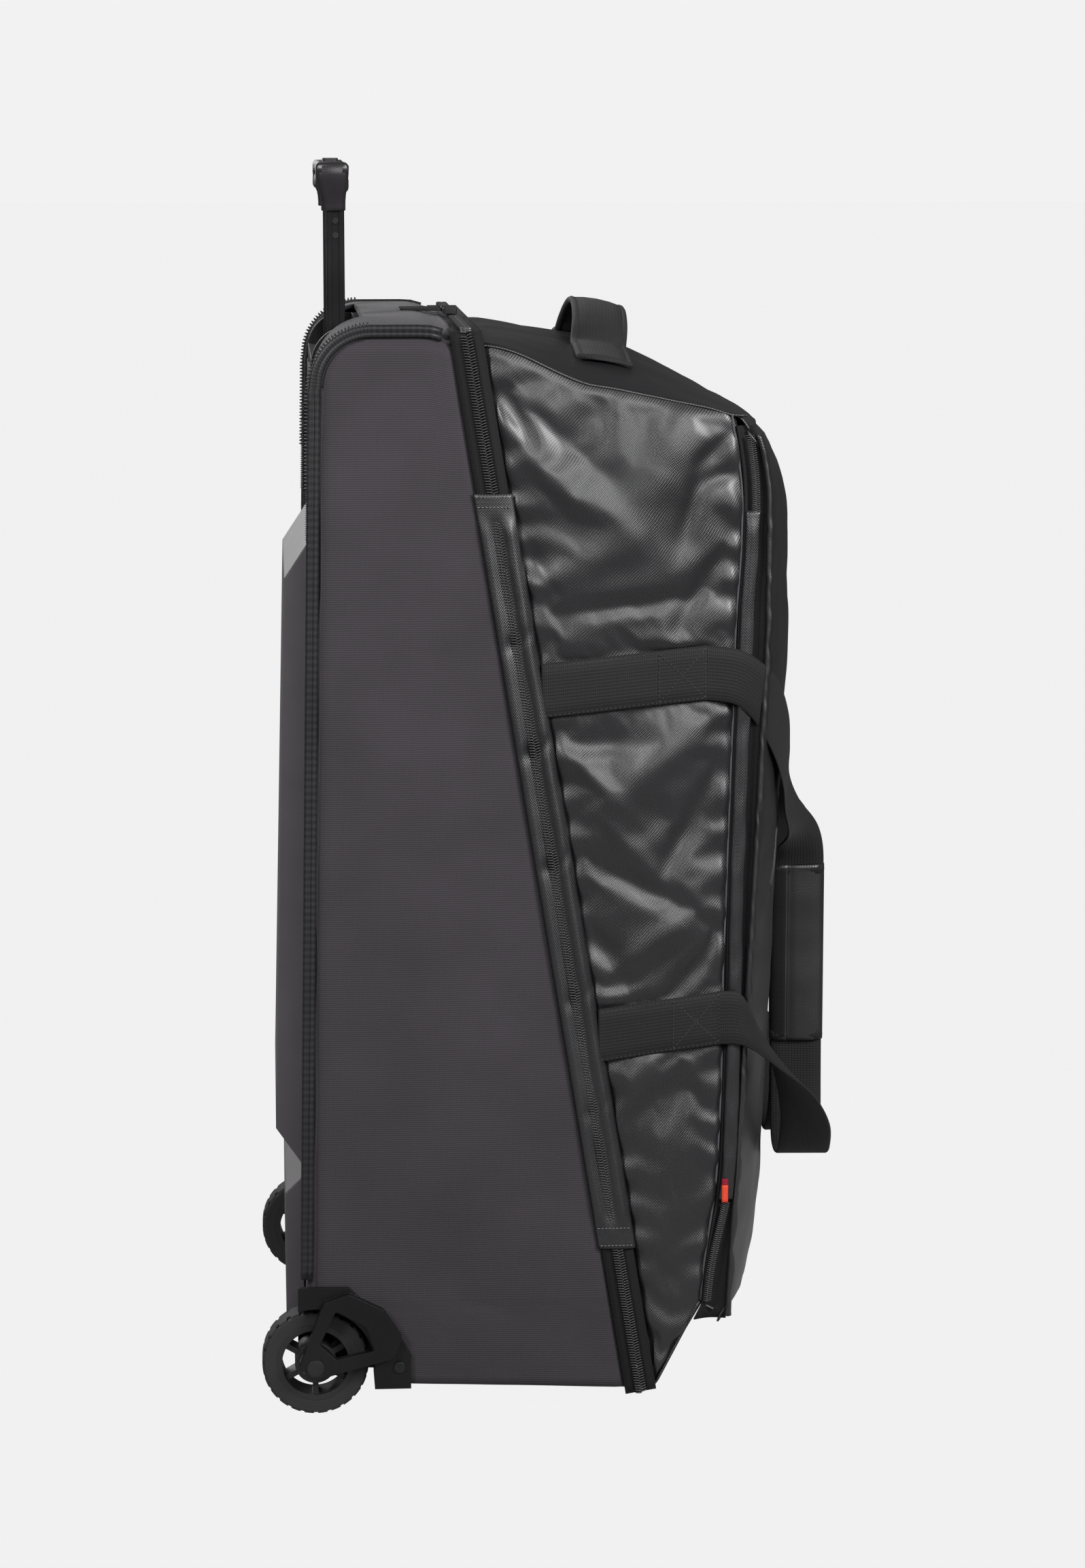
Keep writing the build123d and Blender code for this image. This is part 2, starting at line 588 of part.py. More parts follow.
def make_tyre():
    """A solid tyre with square blocks round both shoulders."""
    y0 = -WHEEL_Y - WHEEL_W / 2
    y1 = -WHEEL_Y + WHEEL_W / 2
    tyre = ring(WHEEL_R, WHEEL_R - TYRE_T, 0, AXLE_Z, y0, y1)
    crown = tyre.edges().filter_by(GeomType.CIRCLE).sort_by(lambda e: e.radius)[-2:]
    tyre = fillet(crown, TREAD_DEPTH * 2)
    for turn in range(TREAD_COUNT):
        angle = 360.0 * turn / TREAD_COUNT
        for y in (y0 + TREAD_LEN / 2, y1 - TREAD_LEN / 2):
            notch = Box(TREAD_W, TREAD_LEN, 2 * TREAD_DEPTH)
            tyre -= Pos(0, y, AXLE_Z) * Rot(0, angle, 0) * Pos(0, 0, WHEEL_R) * notch
    return tyre


def make_hub():
    """Rim, spokes and a centre bored for two bearings."""
    y0 = -WHEEL_Y - WHEEL_W / 2
    y1 = -WHEEL_Y + WHEEL_W / 2
    rim_r = WHEEL_R - TYRE_T
    core_r = BEARING_OD / 2 + BEARING_WALL
    hub = ring(rim_r, rim_r - RIM_T, 0, AXLE_Z, y0, y1)
    spoke_l = rim_r - RIM_T / 2 - core_r / 2
    for turn in range(SPOKES):
        arm = Pos(0, 0, core_r / 2 + spoke_l / 2) * Box(SPOKE_T, WHEEL_W - 2 * RIM_T, spoke_l)
        hub += Pos(0, -WHEEL_Y, AXLE_Z) * Rot(0, 360.0 * turn / SPOKES, 0) * arm
    hub += disc(core_r, 0, AXLE_Z, y0, y1)
    hub -= disc(AXLE_D / 2 + TUBE_GAP, 0, AXLE_Z, y0 - CUT, y1 + CUT)
    hub -= disc(BEARING_OD / 2, 0, AXLE_Z, y0 - CUT, y0 + BEARING_W)
    hub -= disc(BEARING_OD / 2, 0, AXLE_Z, y1 - BEARING_W, y1 + CUT)
    return hub


def make_bearings():
    """Two sealed bearings, one in each face of the hub."""
    y0 = -WHEEL_Y - WHEEL_W / 2
    y1 = -WHEEL_Y + WHEEL_W / 2
    bore = AXLE_D / 2 + RUNNING_FIT
    outer = ring(BEARING_OD / 2, bore, 0, AXLE_Z, y0, y0 + BEARING_W)
    inner = ring(BEARING_OD / 2, bore, 0, AXLE_Z, y1 - BEARING_W, y1)
    return Compound(children=[outer.solids()[0], inner.solids()[0]])


def make_wheels():
    for name, place in (("right", lambda s: s), ("left", other_side)):
        save("tyre_" + name, place(make_tyre()))
        save("hub_" + name, place(make_hub()))
        save("wheel_bearings_" + name, place(make_bearings()))


def housing_arm(y0, y1):
    """The outer arm: a curved triangle with a window, hung from the housing's flange."""
    edge = BOSS_R + CHEEK_T
    top = AXLE_Z + ARCH_R + ARM_T * 2
    front = FOOT_FRONT_X - ARM_T
    outline = [(-edge, AXLE_Z), (ARM_T, top - ARM_T), (ARCH_R - ARM_T * 3, top),
               (ARCH_R + ARM_T, AXLE_Z + ARCH_R), (front, AXLE_Z + ARCH_R / 2),
               (front - ARM_T, AXLE_Z + ARM_T), (0, AXLE_Z - BOSS_R)]
    window = [(ARM_T / 2, AXLE_Z + BOSS_R * 2), (BOSS_R + ARM_T, AXLE_Z + ARCH_R),
              (ARCH_R - ARM_T, AXLE_Z + ARCH_R - ARM_T * 2), (ARCH_R, AXLE_Z + ARM_T * 2),
              (BOSS_R + ARM_T, AXLE_Z + ARM_T)]
    arm = prism(outline, y0, y1)
    arm = fillet(arm.edges().filter_by(Axis.Y), SCREW_HEAD_R)
    hole = prism(window, y0 - CUT, y1 + CUT)
    hole = fillet(hole.edges().filter_by(Axis.Y), SCREW_HEAD_R / 2)
    return arm - hole + disc(BOSS_R, 0, AXLE_Z, y0, y1)


def make_housing():
    """Arch, inner cheek, flange, foot and outer arm in one moulding."""
    outer_y = -HALF - ARM_OUT
    arm_in = outer_y + ARM_T
    cheek_y = -HALF + CHEEK_IN
    shell_y = -HALF - FLANGE_T
    arch_out = ARCH_R + ARCH_T
    upper = slab(ARCH_BACK_X, arch_out, outer_y, cheek_y, AXLE_Z, AXLE_Z + arch_out)
    body = ring(arch_out, ARCH_R, 0, AXLE_Z, shell_y, cheek_y) & upper
    body += slab(ARCH_R, FOOT_FRONT_X, shell_y, cheek_y, FOOT_Z, FOOT_TOP_Z)
    cheek = disc(arch_out, 0, AXLE_Z, cheek_y - CHEEK_T, cheek_y)
    body += cheek & slab(ARCH_BACK_X, arch_out, outer_y, cheek_y, AXLE_Z - BOSS_R, AXLE_Z + arch_out)
    outline = [(ARCH_BACK_X, FLANGE_TOP_Z), (ARCH_R - ARM_T * 3, FLANGE_TOP_Z),
               (ARCH_R + ARM_T * 3, AXLE_Z + ARCH_R / 2), (FOOT_FRONT_X, FOOT_TOP_Z),
               (FOOT_FRONT_X, FOOT_Z), (ARCH_BACK_X, FOOT_Z)]
    flange = prism(outline, shell_y, -HALF) - disc(ARCH_R, 0, AXLE_Z, shell_y - CUT, 0)
    body += flange - slab(-BIG, ARCH_R, shell_y - CUT, 0, 0, AXLE_Z)
    body += housing_arm(outer_y, arm_in)
    wheel_out = -WHEEL_Y - WHEEL_W / 2 - WHEEL_SIDE_GAP
    wheel_in = -WHEEL_Y + WHEEL_W / 2 + WHEEL_SIDE_GAP
    body += disc(BOSS_R, 0, AXLE_Z, arm_in, wheel_out)
    body += disc(BOSS_R, 0, AXLE_Z, wheel_in, cheek_y - CHEEK_T)
    body -= disc(AXLE_D / 2 + HOLE_FIT, 0, AXLE_Z, outer_y - CUT, cheek_y + CUT)
    return body - disc(BOLT_HEAD_R + HOLE_FIT, 0, AXLE_Z, outer_y - CUT, outer_y + BOLT_HEAD_T)


def make_axle_bolt():
    """A shouldered bolt with a flush head, and its nut against the inner cheek."""
    outer_y = -HALF - ARM_OUT
    cheek_y = -HALF + CHEEK_IN
    bolt = disc(AXLE_D / 2, 0, AXLE_Z, outer_y, cheek_y + NUT_T)
    bolt += disc(BOLT_HEAD_R, 0, AXLE_Z, outer_y, outer_y + BOLT_HEAD_T - HOLE_FIT)
    nut = Pos(0, cheek_y + NUT_T / 2, AXLE_Z) * Rot(90, 0, 0) * extrude(
        RegularPolygon(NUT_R, 6), amount=NUT_T / 2, both=True)
    return bolt + nut


def make_housings():
    housing = make_housing()
    bolt = make_axle_bolt()
    save("wheel_housing_right", housing)
    save("wheel_housing_left", other_side(housing))
    save("axle_bolts", bolt, other_side(bolt))


def square_tube(size, z0, z1, grooved):
    """A square tube with rounded edges, grooved down both outer faces on the thin stage."""
    inner = size - 2 * TUBE_WALL
    outer = fillet(Box(size, size, z1 - z0).edges().filter_by(Axis.Z), TUBE_WALL)
    tube = outer - Box(inner, inner, z1 - z0 + 2 * CUT)
    if grooved:
        for side in (-1, 1):
            tube -= Pos(0, side * size / 2, 0) * Box(GROOVE_W, 2 * GROOVE_DEPTH, z1 - z0 + 2 * CUT)
    return Pos(TUBE_X, -TUBE_Y, (z0 + z1) / 2) * tube


def pin_slot(reach):
    """The lock pin's track through the tube wall that faces the bag's middle."""
    z = INNER_LOW_Z + PIN_UP
    y = -TUBE_Y + MIDDLE_TUBE / 2
    half = PIN_R + PIN_FIT
    return slab(TUBE_X - half, TUBE_X + half, y - 2 * TUBE_WALL, y + TUBE_WALL,
                z - reach - STAGE_DOWN - half, z + STAGE_UP + half)


def make_handle_tubes():
    """Three stages each side: the outer is fixed, the middle and the inner slide."""
    outer = square_tube(OUTER_TUBE, OUTER_LOW_Z, TRAY_FLOOR_Z - TRAY_FLOOR_T, False)
    middle = square_tube(MIDDLE_TUBE, MIDDLE_LOW_Z, TRAY_FLOOR_Z, False) - pin_slot(0)
    inner = square_tube(INNER_TUBE, INNER_LOW_Z, GRIP_SPLIT_Z - BUTTON_TRAVEL - TUBE_GAP, True)
    pin_z = INNER_LOW_Z + PIN_UP
    y = -TUBE_Y + INNER_TUBE / 2
    inner -= disc(PIN_R + TUBE_GAP / 2, TUBE_X, pin_z, y - 2 * TUBE_WALL, y + CUT)
    for name, place in (("right", lambda s: s), ("left", other_side)):
        save("outer_tube_" + name, place(outer))
        save("middle_tube_" + name, place(middle))
        save("inner_tube_" + name, place(inner))
    rivets = []
    face = -TUBE_Y - INNER_TUBE / 2 + GROOVE_DEPTH
    for drop in RIVET_DROPS:
        z = SOCKET_LOW_Z - drop
        rivets.append(disc(RIVET_R - GROOVE_DEPTH / 2, TUBE_X, z, face - RIVET_T, face))
    save("grip_rivets", *rivets, *[other_side(rivet) for rivet in rivets])


def make_tray_and_bracket():
    """The tray at the top that the grip drops into, and the bracket under the tubes."""
    floor_low = TRAY_FLOOR_Z - TRAY_FLOOR_T
    tray = slab(-BIG, TRAY_FRONT_X, -TRAY_HALF_W, TRAY_HALF_W, floor_low, BIG) & rear_block(0)
    tray -= slab(-BIG, TRAY_FRONT_X - TRAY_WALL, -TRAY_HALF_W + TRAY_WALL, TRAY_HALF_W - TRAY_WALL,
                 TRAY_FLOOR_Z, BIG)
    hole = MIDDLE_TUBE + 2 * TUBE_GAP
    for side in (-1, 1):
        tray -= Pos(TUBE_X, side * TUBE_Y, TRAY_FLOOR_Z) * Box(hole, hole, 4 * TRAY_FLOOR_T)
    save("handle_tray", tray)
    reach = TUBE_Y + OUTER_TUBE
    bracket = slab(back_x(OUTER_LOW_Z) + REAR_WALL + BOARD_T, BOARD_X, -reach, reach,
                   OUTER_LOW_Z - BRACKET_T, OUTER_LOW_Z)
    low = OUTER_LOW_Z - BRACKET_T - CUT
    pocket = slab(TUBE_X - OUTER_TUBE / 2, TUBE_X + OUTER_TUBE / 2, -TUBE_Y + OUTER_TUBE, TUBE_Y - OUTER_TUBE,
                  low, OUTER_LOW_Z - BOARD_T)
    save("tube_bracket", bracket - pocket)


def make_screws():
    """A panel screw through the foot of each housing's flange."""
    flange_y = -HALF - FLANGE_T
    x = FOOT_FRONT_X - SCREW_HEAD_R * 2
    z = FOOT_TOP_Z - SCREW_HEAD_R * 2
    screw = disc(SCREW_HEAD_R, x, z, flange_y - SCREW_HEAD_T, flange_y)
    save("housing_screws", screw, other_side(screw))


def grip_bar(z0, z1, shrink):
    """The rounded bar across both tubes."""
    bar = slab(GRIP_BACK_X + shrink, GRIP_FRONT_X - shrink, -GRIP_HALF_W + shrink, GRIP_HALF_W - shrink,
               z0, z1)
    return fillet(bar.edges().filter_by(Axis.Z), GRIP_R - shrink)


def make_grip():
    """A two-part moulded grip round the tubes' tops, with the release button in its top."""
    tube_room = INNER_TUBE + 2 * HOLE_FIT
    lower = grip_bar(GRIP_LOW_Z, GRIP_SPLIT_Z, 0)
    for side in (-1, 1):
        socket = slab(SOCKET_BACK_X, SOCKET_FRONT_X, side * TUBE_Y - SOCKET_W / 2,
                      side * TUBE_Y + SOCKET_W / 2, SOCKET_LOW_Z, GRIP_LOW_Z)
        lower += fillet(socket.edges().filter_by(Axis.Z), GRIP_WALL)
    lower -= grip_bar(GRIP_LOW_Z + GRIP_WALL, GRIP_SPLIT_Z + CUT, GRIP_WALL)
    for side in (-1, 1):
        lower -= Pos(TUBE_X, side * TUBE_Y, GRIP_LOW_Z) * Box(tube_room, tube_room, 4 * GRIP_T)
    upper = grip_bar(GRIP_SPLIT_Z, GRIP_TOP_Z, 0)
    upper = fillet(upper.faces().sort_by(Axis.Z)[-1].edges(), GRIP_TOP_R)
    upper -= grip_bar(GRIP_SPLIT_Z - CUT, GRIP_TOP_Z - GRIP_WALL, GRIP_WALL)
    middle_x = (GRIP_BACK_X + GRIP_FRONT_X) / 2
    room = Box(BUTTON_W + 2 * BUTTON_GAP, BUTTON_L + 2 * BUTTON_GAP, GRIP_T)
    upper -= Pos(middle_x, 0, GRIP_TOP_Z) * fillet(room.edges().filter_by(Axis.Z), BUTTON_W / 3)
    save("grip_lower", lower)
    save("grip_upper", upper)


def make_release():
    """Button, the yoke that spreads its push to both rods, its spring and the lock pins."""
    middle_x = (GRIP_BACK_X + GRIP_FRONT_X) / 2
    yoke_top = GRIP_SPLIT_Z
    cap_h = GRIP_TOP_Z + BUTTON_RISE - yoke_top
    cap = Pos(middle_x, 0, yoke_top + cap_h / 2) * Box(BUTTON_W, BUTTON_L, cap_h)
    save("grip_button", fillet(cap.edges().filter_by(Axis.Z), BUTTON_W / 3 - BUTTON_GAP))
    yoke_l = 2 * (TUBE_Y - TUBE_GAP) - INNER_TUBE
    yoke = Pos(middle_x, 0, yoke_top - YOKE_T / 2) * Box(BUTTON_W, yoke_l, YOKE_T)
    pin_z = INNER_LOW_Z + PIN_UP
    rod_low = pin_z + PIN_R + BUTTON_TRAVEL + PIN_FIT
    reach = TUBE_Y + ROD_R
    tip = Pos(TUBE_X, 0, yoke_top + YOKE_T / 2) * Box(2 * ROD_R, 2 * reach, YOKE_T)
    room = Box(BUTTON_W + 2 * TUBE_GAP, BUTTON_L + 2 * TUBE_GAP, YOKE_T * 2)
    rods = yoke + (tip - Pos(middle_x, 0, yoke_top + YOKE_T / 2) * room)
    for side in (-1, 1):
        rod = Cylinder(ROD_R, yoke_top + YOKE_T - rod_low)
        rods += Pos(TUBE_X, side * TUBE_Y, (rod_low + yoke_top + YOKE_T) / 2) * rod
    save("push_rods", rods)
    low = GRIP_LOW_Z + GRIP_WALL + SPRING_WIRE_R
    pitch = (yoke_top - YOKE_T - SPRING_WIRE_R - low) / SPRING_TURNS
    path = Helix(pitch, pitch * SPRING_TURNS, SPRING_R)
    wire = sweep(Plane(origin=path @ 0, z_dir=path % 0) * Circle(SPRING_WIRE_R), path, is_frenet=True)
    save("button_spring", Pos(middle_x, 0, low) * wire)
    tip_y = -TUBE_Y + INNER_TUBE / 2 + TUBE_GAP + PIN_OUT
    pin = disc(PIN_R, TUBE_X, pin_z, tip_y - PIN_L, tip_y)
    save("lock_pin_right", pin)
    save("lock_pin_left", other_side(pin))


def sewn_strap(z, end_x):
    """A webbing strap sewn across the lid's side, from the main zip to the lid's front."""
    y1 = -HALF - WEB_LIFT
    x0 = zip_x(z) + STRAP_FROM_ZIP
    low = z - WEB_W / 2
    outline = [(x0, low), (end_x, low + STRAP_RISE), (end_x, low + STRAP_RISE + WEB_W), (x0, low + WEB_W)]
    return prism(outline, y1 - WEB_T, y1)


def loop(stations):
    """A free webbing run through its stations, each the strap's middle and its width direction."""
    rings = []
    last = len(stations) - 1
    for number, (middle, width) in enumerate(stations):
        across = Vector(*width).normalized()
        before = Vector(*stations[max(number - 1, 0)][0])
        after = Vector(*stations[min(number + 1, last)][0])
        heading = after - before
        heading = (heading - across * heading.dot(across)).normalized()
        half_w = across * (WEB_W / 2)
        half_t = heading.cross(across) * (WEB_T / 2)
        middle = Vector(*middle)
        rings.append([middle + half_w + half_t, middle - half_w + half_t,
                      middle - half_w - half_t, middle + half_w - half_t])
    faces = [Face(Wire.make_polygon(ring)) for ring in (rings[0], rings[-1])]
    for here, there in zip(rings, rings[1:]):
        for corner in range(4):
            beside = (corner + 1) % 4
            quad = [here[corner], here[beside], there[beside], there[corner]]
            if corner > 1:
                quad = quad[1:] + quad[:1]      # both faces of the strap fold along one diagonal
            faces.append(Face(Wire.make_polygon([quad[0], quad[1], quad[2]])))
            faces.append(Face(Wire.make_polygon([quad[0], quad[2], quad[3]])))
    return Solid(Shell(faces))


def upper_run():
    """From the lid's side round its front corner and in to the hand wrap."""
    z = STRAP_TOP_Z + STRAP_RISE
    y = -HALF - WEB_LIFT - WEB_T / 2
    forward = WRAP_MIDDLE_X - POCKET_SIDE_X
    drop = z - WRAP_TOP_Z
    stations = [((STRAP_TOP_END_X + WEB_LIFT, y, z), (0, 0, 1))]
    for ahead, inward, down, width in UPPER_TURNS:
        stations.append(((POCKET_SIDE_X + forward * ahead, y * (1 - inward), z - drop * down), width))
    stations.append(((WRAP_MIDDLE_X, -WEB_T, WRAP_TOP_Z + WEB_T), (1, 0, 0)))
    return loop(stations)


def lower_run():
    """From the hand wrap down in a slack bight and back to the lid's side."""
    z = STRAP_LOW_Z + STRAP_RISE
    y = -HALF - WEB_LIFT - WEB_T / 2
    forward = WRAP_MIDDLE_X - POCKET_SIDE_X
    stations = [((WRAP_MIDDLE_X, -WEB_T, WRAP_LOW_Z - WEB_T), (1, 0, 0))]
    for ahead, outward, up, width in LOWER_TURNS:
        place = (POCKET_SIDE_X + forward * ahead, y * outward, BIGHT_Z + (z - BIGHT_Z) * up)
        stations.append((place, width))
    stations.append(((STRAP_LOW_END_X + WEB_LIFT, y, z), (0, 0, -1)))
    return loop(stations)


def make_haul_handle():
    """Two webbing loops, one on each side of the lid, gathered in a hand wrap at the front."""
    top = sewn_strap(STRAP_TOP_Z, STRAP_TOP_END_X)
    low = sewn_strap(STRAP_LOW_Z, STRAP_LOW_END_X)
    save("sewn_webbing", top, low, other_side(top), other_side(low))
    save("haul_loop_right", upper_run(), lower_run())
    save("haul_loop_left", other_side(upper_run()), other_side(lower_run()))
    wrap = slab(WRAP_BACK_X, WRAP_FRONT_X, -WRAP_HALF_T, WRAP_HALF_T, WRAP_LOW_Z, WRAP_TOP_Z)
    save("hand_wrap", fillet(wrap.edges().filter_by(Axis.Z), WRAP_HALF_T / 2))


def make_grab_handle():
    """A padded webbing arch across the lid's top."""
    slope = math.degrees(math.atan2(SHOULDER_DROP, SHOULDER_X - ZIP_TOP_X))
    span = GRAB_HALF_SPAN
    outer = ThreePointArc((-span, 0), (0, GRAB_RISE + GRAB_T), (span, 0))
    inner = ThreePointArc((span - GRAB_T, 0), (0, GRAB_RISE), (GRAB_T - span, 0))
    ends = [Line((span, 0), (span - GRAB_T, 0)), Line((GRAB_T - span, 0), (-span, 0))]
    arch = extrude(Plane.YZ * make_face([outer, inner] + ends), amount=WEB_W / 2, both=True)
    for side in (-1, 1):
        foot = Box(WEB_W, GRAB_FOOT_L, WEB_T)
        arch += Pos(0, side * (span + GRAB_FOOT_L / 2 - GRAB_T), WEB_T / 2) * foot
    z = BAG_TOP - SHOULDER_DROP * (GRAB_X - ZIP_TOP_X) / (SHOULDER_X - ZIP_TOP_X) + WEB_LIFT
    save("grab_handle", Pos(GRAB_X, 0, z) * Rot(0, slope, 0) * arch)


def make_tag():
    """A small folded cloth tag in the lid's front seam."""
    x1 = seam_x(TAG_Z)
    save("side_tag", slab(x1 - TAG_W, x1, -HALF - WEB_LIFT - TAG_T, -HALF - WEB_LIFT,
                          TAG_Z - TAG_H / 2, TAG_Z + TAG_H / 2))


os.makedirs("parts", exist_ok=True)
make_rear_compartment()
make_back_board()
make_piping()
make_back_shells()
make_main_zip()
make_storm_flaps()
make_corner_zips()
make_main_sliders()
make_lid()
make_front_pocket()
make_pocket_slider()
make_wheels()
make_housings()
make_handle_tubes()
make_tray_and_bracket()
make_screws()
make_grip()
make_release()
make_haul_handle()
make_grab_handle()
make_tag()
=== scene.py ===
import bpy
import math
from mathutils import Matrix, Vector, noise


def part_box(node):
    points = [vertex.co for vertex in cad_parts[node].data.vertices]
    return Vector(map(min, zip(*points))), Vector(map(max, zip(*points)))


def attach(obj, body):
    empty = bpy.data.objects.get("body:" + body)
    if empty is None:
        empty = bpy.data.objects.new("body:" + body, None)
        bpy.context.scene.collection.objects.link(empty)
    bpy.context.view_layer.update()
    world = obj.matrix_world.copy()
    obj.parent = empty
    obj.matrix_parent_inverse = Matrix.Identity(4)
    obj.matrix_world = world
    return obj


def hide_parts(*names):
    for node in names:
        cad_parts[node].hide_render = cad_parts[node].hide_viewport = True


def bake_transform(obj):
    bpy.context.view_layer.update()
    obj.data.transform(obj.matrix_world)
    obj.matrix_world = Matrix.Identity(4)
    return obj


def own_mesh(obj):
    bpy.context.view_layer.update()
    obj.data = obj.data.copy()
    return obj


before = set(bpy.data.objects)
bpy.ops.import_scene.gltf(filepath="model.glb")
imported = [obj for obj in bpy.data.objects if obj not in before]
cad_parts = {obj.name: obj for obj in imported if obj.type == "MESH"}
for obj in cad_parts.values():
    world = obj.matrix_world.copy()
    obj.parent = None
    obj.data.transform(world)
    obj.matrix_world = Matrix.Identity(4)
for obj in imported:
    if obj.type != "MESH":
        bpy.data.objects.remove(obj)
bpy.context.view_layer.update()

# ---- Studio: a plain pale floor, a soft white surround and four soft lamps.
# The camera stands a little above the grip, off the bag's right side, and looks slightly down.
# Places are in millimetres from the wheel axle's middle, as the bag's maker would measure them.
hub_low, hub_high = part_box("hub_right")
AXLE_X = (hub_low[0] + hub_high[0]) / 2
HALF = -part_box("rear_side_right")[0][1] * 1000


def at(x, y, z):
    """A place in millimetres from the axle, as the frame's metres."""
    return Vector((AXLE_X + x / 1000, y / 1000, z / 1000))


def studio_material(name, colour, roughness):
    material = bpy.data.materials.new(name)
    material.use_nodes = True
    shader = material.node_tree.nodes["Principled BSDF"]
    shader.inputs["Base Color"].default_value = (*colour, 1)
    shader.inputs["Roughness"].default_value = roughness
    return material


scene = bpy.context.scene
scene.view_settings.view_transform = "Standard"
FLOOR_REACH = 40            # metres out from the middle, each way
corners = ((-1, -1), (1, -1), (1, 1), (-1, 1))
floor_mesh = bpy.data.meshes.new("studio_floor")
floor_mesh.from_pydata([(x * FLOOR_REACH, y * FLOOR_REACH, 0) for x, y in corners], [], [(0, 1, 2, 3)])
floor = bpy.data.objects.new("studio_floor", floor_mesh)
SURROUND_SEEN, SURROUND_LIT = 0.888, 0.08      # the surround's strength to the camera, and as a light
FLOOR_CLEAR = 0.985         # share of the floor that is see-through, so an opened lid shows below it
floor_paper = studio_material("studio_floor", (0.45, 0.45, 0.45), 0.9)
floor_tree = floor_paper.node_tree


def linked(tree, *pairs):
    """Joins each pair of sockets, from output to input."""
    for source, target in pairs:
        tree.links.new(source, target)


floor_clear = floor_tree.nodes.new("ShaderNodeBsdfTransparent")
floor_mix = floor_tree.nodes.new("ShaderNodeMixShader")
floor_path = floor_tree.nodes.new("ShaderNodeLightPath")
floor_share = floor_tree.nodes.new("ShaderNodeMath")
floor_share.operation = "MULTIPLY_ADD"
floor_share.inputs[1].default_value = FLOOR_CLEAR
linked(floor_tree, (floor_path.outputs["Is Camera Ray"], floor_share.inputs[0]),
       (floor_path.outputs["Is Shadow Ray"], floor_share.inputs[2]),
       (floor_share.outputs[0], floor_mix.inputs["Fac"]),
       (floor_tree.nodes["Principled BSDF"].outputs[0], floor_mix.inputs[1]),
       (floor_clear.outputs[0], floor_mix.inputs[2]),
       (floor_mix.outputs[0], floor_tree.nodes["Material Output"].inputs["Surface"]))
floor.data.materials.append(floor_paper)
scene.collection.objects.link(floor)

world = bpy.data.worlds.new("soft_surround")
world.use_nodes = True
world_tree = world.node_tree
world_path = world_tree.nodes.new("ShaderNodeLightPath")
world_level = world_tree.nodes.new("ShaderNodeMath")
world_level.operation = "MULTIPLY_ADD"
world_level.inputs[1].default_value = SURROUND_SEEN - SURROUND_LIT
world_level.inputs[2].default_value = SURROUND_LIT
linked(world_tree, (world_path.outputs["Is Camera Ray"], world_level.inputs[0]),
       (world_level.outputs[0], world_tree.nodes["Background"].inputs["Strength"]))
world_tree.nodes["Background"].inputs["Color"].default_value = (1, 1, 1, 1)
scene.world = world


def soft_light(name, place, target, size, power):
    lamp = bpy.data.lights.new(name, "AREA")
    lamp.size = size
    lamp.energy = power
    lamp.spread = math.radians(60)
    holder = bpy.data.objects.new(name, lamp)
    holder.location = place
    holder.rotation_euler = (place - target).to_track_quat("Z", "Y").to_euler()
    scene.collection.objects.link(holder)


light_aim = at(170, 0, 560)
soft_light("light_left", at(-1500, -2000, 1700), light_aim, 0.8, 6.0)
soft_light("light_right", at(1900, -1800, 1800), light_aim, 0.9, 9.0)
soft_light("light_over_camera", at(500, -2300, 1500), light_aim, 1.0, 2.2)
soft_light("light_back", at(-900, 1900, 1500), light_aim, 1.4, 4.5)

CAMERA_TILT = math.radians(9.6)
CAMERA_TURN = math.radians(-3.96)
camera = bpy.data.objects.new("camera", bpy.data.cameras.new("camera"))
camera.data.lens = 90.5
camera.data.sensor_width = 36
camera.data.clip_end = 100
forward = Vector((-math.sin(CAMERA_TURN) * math.cos(CAMERA_TILT),
                  math.cos(CAMERA_TURN) * math.cos(CAMERA_TILT), -math.sin(CAMERA_TILT)))
camera.location = at(-25, -2861.9, 903.3)
camera.rotation_euler = forward.to_track_quat("-Z", "Y").to_euler()
scene.collection.objects.link(camera)
scene.camera = camera

# ---- Wheels: solid tyres on spoked hubs, two sealed bearings in each, on a steel bolt.
# The tyre is matt black rubber with dusty tread blocks, the hub glass-filled nylon.


def new_finish(name, colour, roughness, metallic=0.0):
    """A material with its shader, ready for nodes; single values are set on the shader itself."""
    material = bpy.data.materials.new(name)
    material.use_nodes = True
    shader = material.node_tree.nodes["Principled BSDF"]
    shader.inputs["Base Color"].default_value = (*colour, 1)
    shader.inputs["Roughness"].default_value = roughness
    shader.inputs["Metallic"].default_value = metallic
    return material


def effect_group(name, inputs, outputs):
    """An empty node group with named sockets, each input a name, a kind and a value."""
    tree = bpy.data.node_groups.new(name, "ShaderNodeTree")
    for label, kind, value in inputs:
        socket = tree.interface.new_socket(label, in_out="INPUT", socket_type="NodeSocket" + kind)
        if value is not None:
            socket.default_value = value
    for label, kind in outputs:
        tree.interface.new_socket(label, in_out="OUTPUT", socket_type="NodeSocket" + kind)
    return tree, tree.nodes.new("NodeGroupInput"), tree.nodes.new("NodeGroupOutput")


def maths(tree, operation, *values):
    """A Math node whose inputs are sockets or plain numbers."""
    node = tree.nodes.new("ShaderNodeMath")
    node.operation = operation
    for number, value in enumerate(values):
        if hasattr(value, "is_output"):
            tree.links.new(value, node.inputs[number])
        else:
            node.inputs[number].default_value = value
    return node.outputs[0]


def patchy_noise(tree, where, scale, detail=3.0):
    node = tree.nodes.new("ShaderNodeTexNoise")
    tree.links.new(where, node.inputs["Vector"])
    if hasattr(scale, "is_output"):
        tree.links.new(scale, node.inputs["Scale"])
    else:
        node.inputs["Scale"].default_value = scale
    node.inputs["Detail"].default_value = detail
    return node.outputs["Fac"]


